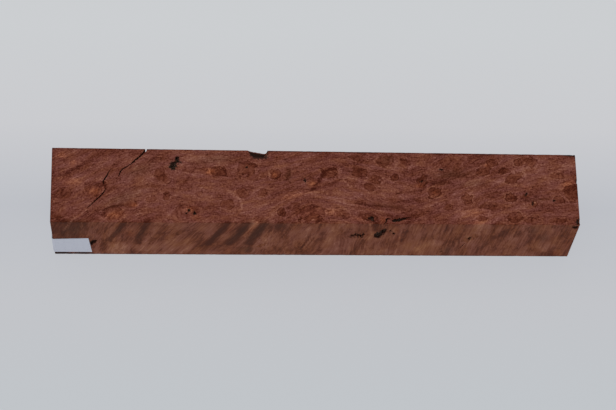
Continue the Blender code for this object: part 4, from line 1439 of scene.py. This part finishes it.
def label_sheet():
    """The label as a thin sheet, in millimetres."""
    bm = bmesh.new()
    foot = [bm.verts.new(point + Vector((0, 0, LABEL_BOTTOM))) for point in label_path()]
    foot[0].co.x += LABEL_FRONT_END_LEAN
    line = [bm.edges.new(pair) for pair in zip(foot, foot[1:])]
    grown = bmesh.ops.extrude_edge_only(bm, edges=line)["geom"]
    front_run = LABEL_FRONT_END + LENGTH / 2
    for vert in grown:
        if isinstance(vert, bmesh.types.BMVert):
            share = min(max((vert.co.x + LENGTH / 2) / front_run, 0.0), 1.0)
            vert.co.z = LABEL_TOP_AT_FOLD + (LABEL_TOP_AT_FRONT_END - LABEL_TOP_AT_FOLD) * share
            if share > 0.5:
                vert.co.x -= LABEL_FRONT_END_LEAN
    long_edges = [edge for edge in bm.edges if edge.calc_length() > LABEL_LONG_EDGE]
    bmesh.ops.subdivide_edges(bm, edges=long_edges, cuts=LABEL_CUTS, use_grid_fill=True)
    bmesh.ops.recalc_face_normals(bm, faces=bm.faces)
    return bm


label = object_from("paper_label", label_sheet(), pieces)
faces_out = label.data.polygons[0].normal.y < 0
thickness = label.modifiers.new("paper_thickness", "SOLIDIFY")
thickness.thickness = LABEL_THICKNESS * MM
thickness.offset = 1.0 if faces_out else -1.0
thickness.use_even_offset = True
settle(label)
print("label:", len(label.data.polygons), "faces")

# %% Uncoated white label paper
# Pressed wood fibres without a coat of clay: matt, with a fuzz a third of a millimetre wide and
# faint bands about a millimetre apart that run up the sheet, as paper gets in the making.
PAPER = ((0.7, "#D9DCE8"), (1.0, "#E4E7F2"))
FUZZ_SCALE = 3.0
BAND_SCALES = (0.9, 0.9, 0.03)

paper, tree, shader = new_material("label_paper_uncoated")
feeds = {0: add_node(tree, "TexCoord").outputs["Object"], "Scale": 1 / MM}
paper_place = add_node(tree, "VectorMath", feeds, operation="SCALE")
fuzz = add_node(tree, "TexNoise", {"Vector": paper_place, "Scale": FUZZ_SCALE, "Detail": 3.0})
feeds = {0: paper_place, 1: BAND_SCALES}
band_spot = add_node(tree, "VectorMath", feeds, operation="MULTIPLY")
bands = add_node(tree, "TexNoise", {"Vector": band_spot, "Scale": 1.0, "Detail": 2.0})
both = add_node(tree, "Math", {0: fuzz, 1: bands}, operation="ADD")
paper_colour = add_node(tree, "ValToRGB", {0: both}, stops=PAPER)
tree.links.new(paper_colour.outputs["Color"], shader.inputs["Base Color"])
paper_rough = add_node(tree, "MapRange", {"Value": fuzz, "To Min": 0.7, "To Max": 0.9})
tree.links.new(paper_rough.outputs["Result"], shader.inputs["Roughness"])
shader.inputs["Specular IOR Level"].default_value = 0.2
nap = add_node(tree, "Bump", {"Strength": 0.3, "Distance": 0.02 * MM, "Height": fuzz})
tree.links.new(nap.outputs["Normal"], shader.inputs["Normal"])
label.data.materials.clear()
label.data.materials.append(paper)
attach(label, "root")
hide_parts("label")

# %% [markdown]
# ## Floor and light
# The stick lies on a pale opal sheet that is lit from below, in light that comes from everywhere.
# So there is hardly a shadow, the top is a little brighter than the front, and dark wood keeps its
# colour instead of mirroring a lamp. The floor glows, a pale world does most of the rest, and one
# large soft lamp overhead adds a little more from above.

# %% A light table to lie on
# The sheet's glow falls a little towards the camera, as it does in the photograph.
FLOOR_SIZE = 8.0
FLOOR_GLOW = 0.6
FLOOR_FADE = 60 * MM
# The glow dips in a band across the floor where the stick lies: painted soft shade in the floor's
# light.
GLOW = (
    (0.1, "#EBF0F5"),
    (0.32, "#EDEFF4"),
    (0.53, "#E7EAF1"),
    (0.72, "#F7F8FC"),
    (0.95, "#F9FCFF"),
)

floor_mesh = bmesh.new()
bmesh.ops.create_grid(floor_mesh, x_segments=1, y_segments=1, size=FLOOR_SIZE / 2 / MM)
floor = object_from("floor", floor_mesh, bpy.context.scene.collection)
sheet, tree, shader = new_material("opal_light_table")
sheet_place = add_node(tree, "TexCoord").outputs["Object"]
depth_back = add_node(tree, "SeparateXYZ", {0: sheet_place})
feeds = {"Value": depth_back.outputs["Y"], "From Min": -FLOOR_FADE, "From Max": FLOOR_FADE}
toward_back = add_node(tree, "MapRange", feeds)
glow = add_node(tree, "ValToRGB", {0: toward_back}, stops=GLOW)
tree.links.new(glow.outputs["Color"], shader.inputs["Emission Color"])
shader.inputs["Emission Strength"].default_value = FLOOR_GLOW
shader.inputs["Base Color"].default_value = linear("#3C3C3D")
shader.inputs["Roughness"].default_value = 0.9
shader.inputs["Specular IOR Level"].default_value = 0.0
floor.data.materials.append(sheet)

# %% Light from everywhere, a little more from above
WORLD_STRENGTH = 0.46
LAMP_SIZE = 1.6
LAMP_POWER = 9.0
LAMP_PLACE = (-0.2, 0.3, 1.4)

world = bpy.data.worlds.new("light_tent")
world.use_nodes = True
surround = world.node_tree.nodes["Background"]
surround.inputs["Color"].default_value = linear("#FAFBFF")
surround.inputs["Strength"].default_value = WORLD_STRENGTH
bpy.context.scene.world = world
lamp_data = bpy.data.lights.new("overhead_softbox", "AREA")
lamp_data.shape = "SQUARE"
lamp_data.size = LAMP_SIZE
lamp_data.energy = LAMP_POWER
lamp = bpy.data.objects.new("overhead_softbox", lamp_data)
lamp.location = LAMP_PLACE
lamp.rotation_euler = (-lamp.location).to_track_quat("-Z", "Y").to_euler()
bpy.context.scene.collection.objects.link(lamp)
bpy.context.scene.view_settings.view_transform = "Standard"
